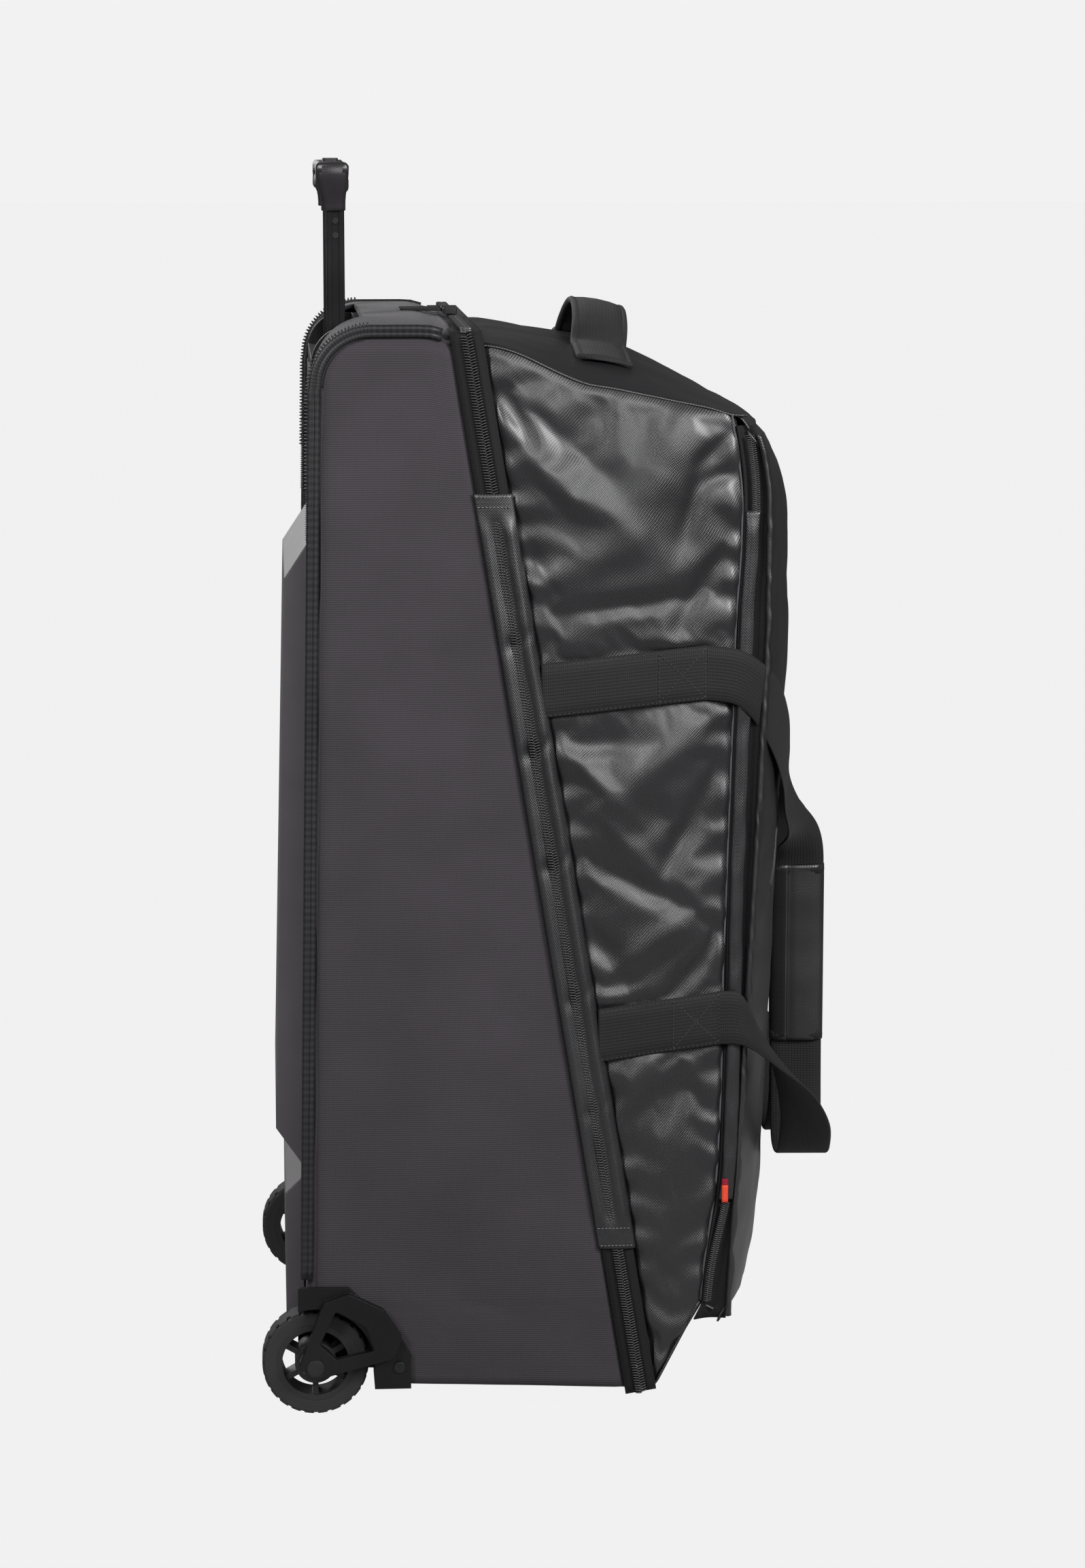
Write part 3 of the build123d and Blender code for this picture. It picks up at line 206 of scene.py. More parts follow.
def blend_colours(tree, mask, first, second):
    """A colour that goes from first to second as the mask rises."""
    node = tree.nodes.new("ShaderNodeMix")
    node.data_type = "RGBA"
    tree.links.new(mask, node.inputs["Factor"])
    for socket, value in ((node.inputs["A"], first), (node.inputs["B"], second)):
        if hasattr(value, "is_output"):
            tree.links.new(value, socket)
        else:
            socket.default_value = (*value, 1)
    return node.outputs["Result"]


# Moulded skin: fine pitted grain with broad patches that wear lighter and smoother.
moulded_skin, skin_in, skin_out = effect_group(
    "moulded_skin",
    [("Where", "Vector", None), ("Colour", "Color", (0.02, 0.02, 0.02, 1)),
     ("Worn Colour", "Color", (0.05, 0.05, 0.05, 1)), ("Grain", "Float", 900.0),
     ("Roughness", "Float", 0.5), ("Spread", "Float", 0.12)],
    [("Colour", "Color"), ("Roughness", "Float"), ("Height", "Float")])
skin_patches = patchy_noise(moulded_skin, skin_in.outputs["Where"], 22.0, 5.0)
skin_grain = patchy_noise(moulded_skin, skin_in.outputs["Where"], skin_in.outputs["Grain"], 2.0)
skin_mask = maths(moulded_skin, "POWER", skin_patches, 2.2)
skin_colour = blend_colours(moulded_skin, skin_mask, skin_in.outputs["Colour"],
                            skin_in.outputs["Worn Colour"])
skin_shift = maths(moulded_skin, "MULTIPLY", maths(moulded_skin, "SUBTRACT", skin_patches, 0.5),
                   skin_in.outputs["Spread"])
moulded_skin.links.new(skin_colour, skin_out.inputs["Colour"])
moulded_skin.links.new(maths(moulded_skin, "ADD", skin_shift, skin_in.outputs["Roughness"]),
                       skin_out.inputs["Roughness"])
moulded_skin.links.new(skin_grain, skin_out.inputs["Height"])


def place_group(material, group, **values):
    """Puts a group in a material with the values given."""
    tree = material.node_tree
    node = tree.nodes.new("ShaderNodeGroup")
    node.node_tree = group
    for label, value in values.items():
        socket = node.inputs[label.replace("_", " ")]
        socket.default_value = (*value, 1) if isinstance(value, tuple) else value
    return node


def bump_from(material, height, strength, depth):
    tree = material.node_tree
    bump = tree.nodes.new("ShaderNodeBump")
    bump.inputs["Strength"].default_value = strength
    bump.inputs["Distance"].default_value = depth
    tree.links.new(height, bump.inputs["Height"])
    tree.links.new(bump.outputs["Normal"], tree.nodes["Principled BSDF"].inputs["Normal"])
    return bump


def moulded_finish(name, colour, worn, roughness, grain=900.0, depth=0.00012, metallic=0.0, edge=0.0008,
                   gloss=0.4):
    """A moulded or painted part: grain, worn patches and softened edges."""
    material = new_finish(name, colour, roughness, metallic)
    tree = material.node_tree
    shader = tree.nodes["Principled BSDF"]
    shader.inputs["Specular IOR Level"].default_value = gloss
    where = tree.nodes.new("ShaderNodeTexCoord").outputs["Object"]
    node = place_group(material, moulded_skin, Colour=colour, Worn_Colour=worn, Grain=grain,
                       Roughness=roughness)
    tree.links.new(where, node.inputs["Where"])
    tree.links.new(node.outputs["Colour"], shader.inputs["Base Color"])
    tree.links.new(node.outputs["Roughness"], shader.inputs["Roughness"])
    bump = bump_from(material, node.outputs["Height"], 0.5, depth)
    if edge:
        soft_edge = tree.nodes.new("ShaderNodeBevel")
        soft_edge.samples = 4
        soft_edge.inputs["Radius"].default_value = edge
        tree.links.new(soft_edge.outputs["Normal"], bump.inputs["Normal"])
    return material


def finish_node(node, material):
    """Gives a CAD node its finish in every slot."""
    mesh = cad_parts[node].data
    if not mesh.materials:
        mesh.materials.append(material)
    for number in range(len(mesh.materials)):
        mesh.materials[number] = material


tyre_rubber = moulded_finish("tyre_rubber", (0.014, 0.014, 0.0145), (0.034, 0.033, 0.033), 0.72,
                             grain=500.0, depth=0.0003)
hub_nylon = moulded_finish("hub_nylon", (0.014, 0.014, 0.015), (0.03, 0.03, 0.032), 0.45)
bright_steel = moulded_finish("bright_steel", (0.42, 0.42, 0.43), (0.3, 0.3, 0.3), 0.3,
                              grain=1500.0, depth=0.00003, metallic=1.0)
for side in ("right", "left"):
    finish_node("tyre_" + side, tyre_rubber)
    finish_node("hub_" + side, hub_nylon)
    finish_node("wheel_bearings_" + side, bright_steel)
black_bolt = moulded_finish("black_bolt", (0.02, 0.02, 0.021), (0.08, 0.08, 0.08), 0.35,
                            metallic=0.7, depth=0.00004)
finish_node("axle_bolts", black_bolt)
finish_node("housing_screws", black_bolt)

# ---- Wheel housings: one glass-filled nylon moulding at each lower back corner.
# Arch, inner cheek, foot and a windowed arm that carries the axle, screwed to the tub.
housing_nylon = moulded_finish("housing_nylon", (0.0045, 0.0045, 0.005), (0.014, 0.014, 0.015), 0.4,
                               grain=700.0, depth=0.0002, gloss=0.25)
finish_node("wheel_housing_right", housing_nylon)
finish_node("wheel_housing_left", housing_nylon)

# ---- Pull handle: three stages of black anodised square tube in a moulded tray.
# The tubes are drawn aluminium with fine lengthwise lines, the tray and bracket nylon.
tube_black = moulded_finish("tube_black", (0.012, 0.012, 0.013), (0.03, 0.03, 0.032), 0.3,
                            grain=600.0, depth=0.00003, metallic=0.6, edge=0.0006)
for stage in ("outer", "middle", "inner"):
    for side in ("right", "left"):
        finish_node(stage + "_tube_" + side, tube_black)
finish_node("handle_tray", housing_nylon)
finish_node("tube_bracket", housing_nylon)
board_sheet = moulded_finish("board_sheet", (0.03, 0.03, 0.031), (0.05, 0.05, 0.05), 0.55)
finish_node("back_board", board_sheet)
for node in ("push_rods", "lock_pin_right", "lock_pin_left"):
    finish_node(node, bright_steel)
finish_node("grip_rivets", black_bolt)

# ---- Grip: a nylon moulding, crowned on top, with a funnel at each end that takes an inner tube.
# Its cap snaps on over the button's coil spring, and the release button stands in the cap.
GRIP_BACK, GRIP_FRONT = 9.0, 32.0
GRIP_MIDDLE = (GRIP_BACK + GRIP_FRONT) / 2
GRIP_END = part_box("grip_upper")[1][1] * 1000
GRIP_LOW, GRIP_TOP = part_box("grip_lower")[0][2] * 1000 + 11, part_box("grip_upper")[1][2] * 1000
GRIP_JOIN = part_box("grip_upper")[0][2] * 1000


def new_piece(name, points, faces, material, surface=None):
    """A mesh piece in millimetres from the axle, smooth, with a UV in millimetres if given."""
    mesh = bpy.data.meshes.new(name)
    mesh.from_pydata([at(*point) for point in points], [], faces)
    if surface:
        layer = mesh.uv_layers.new(name="surface")
        for loop in mesh.loops:
            layer.data[loop.index].uv = surface[loop.vertex_index]
    mesh.shade_smooth()
    mesh.materials.append(material)
    piece = bpy.data.objects.new(name, mesh)
    scene.collection.objects.link(piece)
    return piece


def mount(piece, body, nodes=()):
    """Says what a piece rides on and which CAD nodes it stands for."""
    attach(piece, body)
    if nodes:
        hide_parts(*nodes)
    return piece


def hold(piece, modifier, **settings):
    """Adds a modifier with its settings."""
    added = piece.modifiers.new(modifier.lower(), modifier)
    for label, value in settings.items():
        setattr(added, label, value)
    return added


def settle(piece):
    """Bakes the piece's modifiers into its mesh."""
    bpy.context.view_layer.update()
    shaped = piece.evaluated_get(bpy.context.evaluated_depsgraph_get())
    mesh = bpy.data.meshes.new_from_object(shaped)
    piece.modifiers.clear()
    piece.data = mesh
    return piece


def skin(rows, closed=False, caps=False):
    """Faces between rows of equal length; closed joins each row's ends."""
    width = len(rows[0])
    points = [point for row in rows for point in row]
    faces = []
    for r in range(len(rows) - 1):
        for c in range(width if closed else width - 1):
            d = (c + 1) % width
            faces.append((r * width + c, r * width + d, (r + 1) * width + d, (r + 1) * width + c))
    if caps:
        faces.append(tuple(reversed(range(width))))
        faces.append(tuple((len(rows) - 1) * width + c for c in range(width)))
    return points, faces


def rounded_ring(half_x, half_z, corner, steps=4):
    """A rounded rectangle about the origin, as pairs."""
    ring = []
    for turn, (sx, sz) in enumerate(((1, 1), (-1, 1), (-1, -1), (1, -1))):
        for step in range(steps + 1):
            angle = math.pi / 2 * (turn + step / steps)
            ring.append((sx * (half_x - corner) + corner * math.cos(angle),
                         sz * (half_z - corner) + corner * math.sin(angle)))
    return ring


def grip_rows(end, low, top, crown, middle_share, corner):
    """The bar's outlines from end to end: waisted in its middle, crowned on top, closed at the ends."""
    rows = []
    steps = 40
    for step in range(-2, steps + 3):
        share = min(1.0, max(-1.0, 2 * step / steps - 1))
        over = max(0, -step, step - steps)
        half = (GRIP_FRONT - GRIP_BACK) / 2 * (middle_share + (1 - middle_share) * abs(share) ** 3) - 0.7 * over
        tall = (top - low) / 2 - 0.7 * over
        y = share * (end - 1.6) + math.copysign(0.8 * over, share)
        row = []
        for x, z in rounded_ring(half, tall, min(corner, tall - 0.2)):
            lift = crown * (1 - (x / half) ** 2) if z > 0 else 0
            row.append((GRIP_MIDDLE + x, y, (low + top) / 2 + z + lift))
        rows.append(row)
    return rows


def grip_shell(name, rows, material, nodes=()):
    """One moulded shell of the grip, closed at both ends."""
    piece = new_piece(name, *skin(rows, closed=True, caps=True), material)
    return mount(piece, "handle_upper", nodes)


grip_nylon = moulded_finish("grip_nylon", (0.020, 0.018, 0.020), (0.045, 0.042, 0.045), 0.3,
                            grain=1100.0, depth=0.00012)
grip_shell("grip_cap", grip_rows(GRIP_END, GRIP_JOIN + 0.2, GRIP_TOP - 1.6, 3.0, 0.9, 2.2), grip_nylon,
           ["grip_upper"])
grip_shell("grip_base", grip_rows(GRIP_END - 4, GRIP_LOW + 1, GRIP_JOIN + 0.5, 0.0, 0.84, 4.5), grip_nylon,
           ["grip_lower"])
finish_node("grip_button", moulded_finish("button_nylon", (0.02, 0.02, 0.02), (0.05, 0.05, 0.05), 0.3))
# Funnels at the bar's ends: middle X, half X, middle Y, half Y and drop from the cap's joint.
FUNNEL = ((20.5, 11.2, 82.0, 11.7, -6.6), (20.5, 11.7, 82.0, 12.1, -6.0), (20.5, 11.5, 82.0, 12.1, 0.0),
          (20.5, 11.1, 81.9, 11.9, 4.0),
          (20.7, 10.3, 81.5, 11.3, 8.5), (21.0, 9.2, 80.9, 10.3, 13.0), (21.2, 8.6, 80.4, 9.5, 17.5),
          (21.3, 8.4, 80.0, 9.2, 22.0), (21.3, 8.4, 80.0, 9.2, 24.6), (21.3, 7.4, 80.0, 8.2, 25.0))
for side, word in ((-1, "right"), (1, "left")):
    rows = [[(middle_x + x, side * middle_y + y, GRIP_JOIN - drop) for x, y in rounded_ring(half_x, half_y, 5.0)]
            for middle_x, half_x, middle_y, half_y, drop in FUNNEL]
    grip_shell("grip_funnel_" + word, rows, grip_nylon)


def tube_along(name, path, radius, material, body, sides=10, nodes=(), squash_by=1.0):
    """A round cord along a path of places."""
    rows = []
    for number, place in enumerate(path):
        before = Vector(path[max(number - 1, 0)])
        after = Vector(path[min(number + 1, len(path) - 1)])
        heading = (after - before).normalized()
        side = heading.cross(Vector((0, 1, 0)))
        if side.length < 0.1:
            side = heading.cross(Vector((1, 0, 0)))
        side.normalize()
        over = heading.cross(side)
        rows.append([tuple(Vector(place) + (side * math.cos(a) + over * math.sin(a) * squash_by) * radius)
                     for a in (2 * math.pi * s / sides for s in range(sides))])
    points, faces = skin(rows, closed=True, caps=True)
    surface = [((i % sides) * 2 * math.pi * radius / sides, (i // sides) * 4.0) for i in range(len(points))]
    return mount(new_piece(name, points, faces, material, surface), body, nodes)


SPRING_X, SPRING_RADIUS, SPRING_WIRE, SPRING_TURNS = 20.5, 3.2, 0.45, 5
SPRING_LOW, SPRING_HIGH = 852.5, 861.0
turns = []
for step in range(101):
    angle = SPRING_TURNS * 2 * math.pi * step / 100
    turns.append((SPRING_X + SPRING_RADIUS * math.cos(angle), SPRING_RADIUS * math.sin(angle),
                  SPRING_LOW + 0.5 + (SPRING_HIGH - SPRING_LOW - 1.0) * step / 100))
spring = tube_along("button_coil_spring", turns, SPRING_WIRE, bright_steel, "handle_upper", sides=6,
                    nodes=["button_spring"])
at(SPRING_X, 0, SPRING_LOW)
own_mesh(spring)

# ---- Rear tub cloth: foam-backed ribbed polyester, cut in five panels and sewn along piped seams.
# The side panels are almost flat, with ribs that run level, and the corners are rounded by the foam.
# The weave gives a height for the bump and a colour mask from the same height: painted shade, darker in the grooves
# between the ribs, with random fuzz tone in it.
woven_ribs, ribs_in, ribs_out = effect_group(
    "woven_ribs",
    [("Surface", "Vector", None), ("Rib", "Float", 1.4), ("Cross", "Float", 1.1), ("Fuzz", "Float", 0.35)],
    [("Height", "Float"), ("Painted Shade And Fuzz", "Float")])
ribs_split = woven_ribs.nodes.new("ShaderNodeSeparateXYZ")
woven_ribs.links.new(ribs_in.outputs["Surface"], ribs_split.inputs[0])


def ripple(tree, along, pitch):
    """A sine from 0 to 1 along a coordinate, with its pitch in the same unit."""
    turns = maths(tree, "MULTIPLY", maths(tree, "DIVIDE", along, pitch), 2 * math.pi)
    return maths(tree, "MULTIPLY_ADD", maths(tree, "SINE", turns), 0.5, 0.5)


ribs_across = ripple(woven_ribs, ribs_split.outputs["Y"], ribs_in.outputs["Rib"])
ribs_along = ripple(woven_ribs, ribs_split.outputs["X"], ribs_in.outputs["Cross"])
ribs_fuzz = patchy_noise(woven_ribs, ribs_in.outputs["Surface"], 1.3, 2.0)
ribs_weave = maths(woven_ribs, "MULTIPLY_ADD", ribs_along, 0.35, maths(woven_ribs, "MULTIPLY", ribs_across, 0.65))
ribs_height = maths(woven_ribs, "MULTIPLY_ADD", ribs_fuzz, ribs_in.outputs["Fuzz"], ribs_weave)
woven_ribs.links.new(ribs_height, ribs_out.inputs["Height"])
# Painted shade: the colour mask is the weave's height, so the ribs' tops are lighter and their grooves darker; the
# fuzz in it is random tone.
woven_ribs.links.new(maths(woven_ribs, "MULTIPLY", ribs_height, 0.7), ribs_out.inputs["Painted Shade And Fuzz"])

# Cloth patches: slow change of tone over a panel, with a little lint.
cloth_patches, patch_in, patch_out = effect_group(
    "cloth_patches",
    [("Surface", "Vector", None), ("Scale", "Float", 0.012), ("Lint", "Float", 0.25)],
    [("Tone", "Float")])
patch_slow = patchy_noise(cloth_patches, patch_in.outputs["Surface"], patch_in.outputs["Scale"], 4.0)
patch_lint = patchy_noise(cloth_patches, patch_in.outputs["Surface"], 0.6, 2.0)
patch_sum = maths(cloth_patches, "MULTIPLY_ADD", patch_lint, patch_in.outputs["Lint"], patch_slow)
cloth_patches.links.new(maths(cloth_patches, "SUBTRACT", patch_sum, 0.12), patch_out.inputs["Tone"])


def cloth_finish(name, weave, dark, light, roughness, bump, depth, gloss=0.25, sheen=0.0, coat=0.0, **weave_values):
    """A cloth: a weave for height and for painted shade in its grooves, and slow patches for tone, over the piece's
    own UV.
    """
    material = new_finish(name, dark, roughness)
    tree = material.node_tree
    shader = tree.nodes["Principled BSDF"]
    surface = tree.nodes.new("ShaderNodeUVMap")
    surface.uv_map = "surface"
    threads = place_group(material, weave, **weave_values)
    patches = place_group(material, cloth_patches)
    tree.links.new(surface.outputs["UV"], threads.inputs["Surface"])
    tree.links.new(surface.outputs["UV"], patches.inputs["Surface"])
    # The base colour goes from dark to light by the weave's painted groove shade times the random patch tone.
    mask = maths(tree, "MULTIPLY", threads.outputs["Painted Shade And Fuzz"], patches.outputs["Tone"])
    tree.links.new(blend_colours(tree, maths(tree, "MULTIPLY", mask, 2.0), dark, light),
                   shader.inputs["Base Color"])
    rough = maths(tree, "MULTIPLY_ADD", patches.outputs["Tone"], 0.18, roughness - 0.08)
    tree.links.new(rough, shader.inputs["Roughness"])
    shader.inputs["Specular IOR Level"].default_value = gloss
    shader.inputs["Sheen Weight"].default_value = sheen
    shader.inputs["Sheen Roughness"].default_value = 0.45
    shader.inputs["Coat Weight"].default_value = coat
    shader.inputs["Coat Roughness"].default_value = 0.3
    bump_from(material, threads.outputs["Height"], bump, depth)
    return material


ribbed_cloth = cloth_finish("ribbed_cloth", woven_ribs, (0.023, 0.0195, 0.0235), (0.048, 0.042, 0.050), 0.74,
                            0.55, 0.0003, sheen=0.08, Rib=1.5, Cross=1.1)
BACK_FOOT, BACK_TOP = -8.0, 5.0
TUB_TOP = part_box("rear_top_panel")[1][2] * 1000
TUB_LOW = 24.0
CORNER = 34.0
EDGE_IN, EDGE_DROP = 5.0, 3.0      # the side panels' sewn edge, in from the back and below the top
ZIP_TOP, ZIP_FOOT = 108.0, 232.0


def back_x(z):
    return BACK_FOOT + (BACK_TOP - BACK_FOOT) * (z - TUB_LOW) / (TUB_TOP - TUB_LOW)


def zip_x(z):
    return ZIP_FOOT + (ZIP_TOP - ZIP_FOOT) * z / TUB_TOP


def ease(t):
    """A smooth step from 0 to 1."""
    t = min(1.0, max(0.0, t))
    return t * t * (3 - 2 * t)


def wander(x, z, size, seed):
    """Smooth noise about zero over a surface, with its features about size millimetres wide."""
    return noise.noise(Vector((x / size, z / size, seed)))


def panel(name, across, up, place, thick, material, body, nodes=(), cut=None, rounds=0, slack=None):
    """A cloth panel: a grid from place(u, v), given thickness, with its own UV in millimetres."""
    rows = [[place(c / across, r / up) for c in range(across + 1)] for r in range(up + 1)]
    points, faces = skin(rows)
    width = across + 1
    surface = []
    for r in range(up + 1):
        run = 0.0
        for c in range(width):
            here = Vector(rows[r][c])
            if c:
                run += (here - Vector(rows[r][c - 1])).length
            rise = (Vector(rows[r][across // 2]) - Vector(rows[0][across // 2])).length
            surface.append((run, rise))
    if cut:
        middles = [sum((Vector(points[i]) for i in face), Vector()) / 4 for face in faces]
        faces = [face for face, middle in zip(faces, middles) if not cut(*middle)]
    piece = new_piece(name, points, faces, material, surface)
    if slack:
        holds, growth, push, cap = slack
        crumple(piece, [holds((i % width) / across, (i // width) / up, point[0], point[2])
                        for i, point in enumerate(points)], growth, push, cap)
    if rounds:
        hold(piece, "SUBSURF", levels=rounds, render_levels=rounds)
    hold(piece, "SOLIDIFY", thickness=thick / 1000, offset=-1.0)
    return mount(settle(piece), body, nodes)


WHEEL_RADIUS = 37.5
ARCH_OUT = 45.5             # the wheel arch's radius about the axle
WHEEL_BAY = 39.0            # how far each wheel's bay goes in from the side
TRAY_HALF = 104.0           # half the width of the opening round the handle's tray


def tub_back_edge(z):
    """The side panel's back edge, round the wheel arch below and the foam corner above."""
    x = back_x(z) + EDGE_IN
    start = TUB_TOP - EDGE_DROP - CORNER
    if z > start:
        rise = min(CORNER, z - start)
        x += CORNER - math.sqrt(max(0.0, CORNER ** 2 - rise ** 2))
    if z < WHEEL_RADIUS:
        return 60.0
    if z < WHEEL_RADIUS + ARCH_OUT:
        return max(x, math.sqrt(ARCH_OUT ** 2 - (z - WHEEL_RADIUS) ** 2))
    return x


def side_foot(x):
    """The rear side panel's lower edge."""
    return 22.5 - 6.5 * (x - 67) / 165


def tub_side(side):
    def place(u, v):
        z = 21 + (TUB_TOP - EDGE_DROP - 21.05) * v
        x0, x1 = tub_back_edge(z), zip_x(z) - 9
        x = x0 + (x1 - x0) * u
        z -= 4.0 * ease((x - 80) / 20) * v ** 8 + (21.0 - side_foot(x)) * (1 - v) ** 20
        belly = 1.6 * math.sin(math.pi * u) * math.sin(math.pi * v) ** 0.5
        roll = 3.0 * (1 - ease(min(u, 1 - u) * (x1 - x0) / 6)) + 3.0 * (1 - ease((1 - v) * 110))
        ripple_y = 0.7 * wander(x, z, 90, side) + 0.35 * wander(x, z, 28, side + 5)
        return x, side * (HALF + 0.4 + belly + ripple_y - roll), z
    return place


for side, word in ((-1, "right"), (1, "left")):
    panel("tub_side_" + word, 40, 130, tub_side(side), side * -3.0, ribbed_cloth, "bag_body",
          ["rear_side_" + word])


def tub_top_place(u, v):
    """Over the top from the zip back and down round the corner; v runs across the bag."""
    y = -HALF + 1.5 + (2 * HALF - 3) * v
    edge_x = back_x(TUB_TOP) + EDGE_IN + CORNER
    flat = zip_x(TUB_TOP) - 9 - edge_x
    run = (flat + CORNER * math.pi / 2) * u
    crown = 9.5 * (1 - abs(y / HALF) ** 8) + 1.0 * wander(run, y, 70, 3)
    if run < flat:
        x = zip_x(TUB_TOP) - 9 - run
        sag = 4.0 * (1 - ease(run / 22)) * (1 - abs(y / HALF) ** 8)
        return x, y, TUB_TOP - EDGE_DROP - 4.0 * ease((x - 80) / 20) * abs(y / HALF) ** 8 + crown - sag
    angle = (run - flat) / CORNER
    return (edge_x - (CORNER + crown * 0.6) * math.sin(angle), y,
            TUB_TOP - EDGE_DROP - CORNER + (CORNER + crown) * math.cos(angle))


def over_tray(x, y, z):
    return abs(y) < TRAY_HALF and x < 40


panel("tub_top", 44, 84, tub_top_place, -3.0, ribbed_cloth, "bag_body",
      ["rear_top_panel"], cut=over_tray)


def tub_back_place(u, v):
    z = 34 + (TUB_TOP - EDGE_DROP - CORNER - 34) * v
    y = -HALF + 1 + (2 * HALF - 2) * u
    sag = 1.5 * wander(y, z, 80, 7)
    wrap_in = 5.5 * ease((abs(y) - HALF + 9) / 6)
    return back_x(z) + 0.8 + wrap_in - 3 * math.sin(math.pi * u) * v * (1 - v) + sag, y, z


def under_arch(y, z):
    return abs(y) > HALF - WHEEL_BAY and z < 84


panel("tub_back", 60, 110, tub_back_place, -3.0, ribbed_cloth, "bag_body",
      ["back_panel"], cut=lambda x, y, z: under_arch(y, z) or (abs(y) < TRAY_HALF and z > 728))


def underside(x, y):
    """The bottom's height: a slope down to the front, rising to each side panel."""
    middle = TUB_LOW * (ZIP_FOOT - x) / (ZIP_FOOT - BACK_FOOT)
    edge = side_foot(x) + 1.5
    side = ease((abs(y) - 40) / (HALF - 40))
    return middle + (max(edge, middle) - middle) * side


def tub_bottom_place(u, v):
    x = back_x(34) + 2 + (ZIP_FOOT - 2 - back_x(34)) * u
    y = -HALF + 3.0 + (2 * HALF - 6) * v
    back_round = 12 * (1 - ease(u * 14))
    return x, y, max(underside(x, y) + 0.6, 3.4) + back_round


panel("tub_bottom", 40, 70, tub_bottom_place, 3.0, ribbed_cloth, "bag_body",
      ["bottom_panel"], cut=lambda x, y, z: abs(y) > HALF - WHEEL_BAY and x < 67)

# ---- Piping: a cord wrapped in black vinyl, sewn in both back edges and over the top corner.
# A padded band lies beside it, and a ribbed cover hides the corner's zip.
piping_vinyl = cloth_finish("piping_vinyl", woven_ribs, (0.010, 0.010, 0.011), (0.03, 0.03, 0.032), 0.42,
                            0.3, 0.0002, Rib=2.2, Cross=3.0)


def add_bead(points, faces, middle, along, across, size):
    """One small rounded bar: its length, width and height in size."""
    length, width, height = size
    along = Vector(along).normalized()
    across = (Vector(across) - along * Vector(across).dot(along)).normalized()
    up = along.cross(across)
    first = len(points)
    rings = ((-0.5, 0.45), (-0.3, 0.95), (0.3, 0.95), (0.5, 0.45))
    for shift, grow in rings:
        for corner in range(6):
            angle = math.pi / 3 * corner
            offset = across * (math.cos(angle) * width / 2 * grow) + up * (math.sin(angle) * height / 2 * grow)
            points.append(tuple(Vector(middle) + along * (shift * length) + offset))
    for ring in range(len(rings) - 1):
        for corner in range(6):
            beside = (corner + 1) % 6
            a = first + ring * 6
            faces.append((a + corner, a + beside, a + 6 + beside, a + 6 + corner))
    faces.append(tuple(first + corner for corner in reversed(range(6))))
    faces.append(tuple(first + 18 + corner for corner in range(6)))


def walk(path, pitch, start=0.0):
    """Even steps along a path of places: each step's place and heading."""
    carry = start
    for a, b in zip(path, path[1:]):
        a, b = Vector(a), Vector(b)
        length = (b - a).length
        while carry <= length:
            yield a + (b - a) * (carry / length), (b - a).normalized()
            carry += pitch
        carry -= length


def piping_path(side, out, low, stop_x):
    """Up the back edge, round the corner and forward; out is how far it lies off the side panel's edge."""
    y = side * (HALF - 0.5)
    path = [(tub_back_edge(z) - out, y, z) for z in range(low, int(TUB_TOP - EDGE_DROP - CORNER), 9)]
    corner_x = back_x(TUB_TOP) + EDGE_IN + CORNER
    for step in range(15):
        angle = math.pi / 2 * step / 14
        path.append((corner_x - (CORNER + out) * math.cos(angle), y,
                     TUB_TOP - EDGE_DROP - CORNER + (CORNER + out) * math.sin(angle)))
    x = corner_x + 8
    while x < stop_x:
        path.append((x, y, TUB_TOP - EDGE_DROP + out - 4.0 * ease((x - 80) / 20)))
        x += 8
    return path


for side, word in ((-1, "right"), (1, "left")):
    cord = tube_along("piping_" + word, piping_path(side, 2.0, 100, 98), 2.3, piping_vinyl, "bag_body")
    if side < 0:
        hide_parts("piping")
    # The corner zip's cover: a ribbed strip outside the piping, from the shoulder round to the top.
    points, faces = [], []
    for place, heading in walk(piping_path(side, 6.6, 655, 46), 2.4):
        over = heading.cross(Vector((0, 1, 0)))
        add_bead(points, faces, place, over, heading, (7.4, 1.7, 3.0))
    cover = new_piece("corner_cover_" + word, points, faces, piping_vinyl,
                      [(point[0], point[2]) for point in points])
    mount(cover, "bag_body")
    tube_along("corner_band_" + word, piping_path(side, 5.6, 100, 98), 2.9, piping_vinyl, "bag_body",
               squash_by=0.7)

# ---- Back shells: the flat hump and the skid plate, vacuum-formed from satin sheet.
# The hump's ends are bevelled, and both shells are riveted through the back cloth.
shell_sheet = moulded_finish("shell_sheet", (0.080, 0.074, 0.080), (0.12, 0.112, 0.12), 0.5,
                             grain=1400.0, depth=0.0001, edge=0.002)
finish_node("back_hump_shell", shell_sheet)
finish_node("skid_plate", shell_sheet)

# ---- Lid cloth: laminated polyester, semi-gloss, soft enough to pucker along its seams.
# Sides, top, bottom and lining are cut flat, sewn on the zip tape in front and pulled by the webbing.
twill, twill_in, twill_out = effect_group(
    "laminated_twill",
    [("Surface", "Vector", None), ("Pitch", "Float", 1.5), ("Fuzz", "Float", 0.2)],
    [("Height", "Float"), ("Painted Shade And Fuzz", "Float")])
twill_split = twill.nodes.new("ShaderNodeSeparateXYZ")
twill.links.new(twill_in.outputs["Surface"], twill_split.inputs[0])
twill_sum = maths(twill, "ADD", twill_split.outputs["X"], twill_split.outputs["Y"])
twill_less = maths(twill, "SUBTRACT", twill_split.outputs["X"], twill_split.outputs["Y"])
twill_one = ripple(twill, twill_sum, twill_in.outputs["Pitch"])
twill_two = ripple(twill, twill_less, twill_in.outputs["Pitch"])
twill_fuzz = patchy_noise(twill, twill_in.outputs["Surface"], 0.9, 3.0)
twill_cross = maths(twill, "MULTIPLY", twill_one, twill_two)
twill_height = maths(twill, "MULTIPLY_ADD", twill_fuzz, twill_in.outputs["Fuzz"], twill_cross)
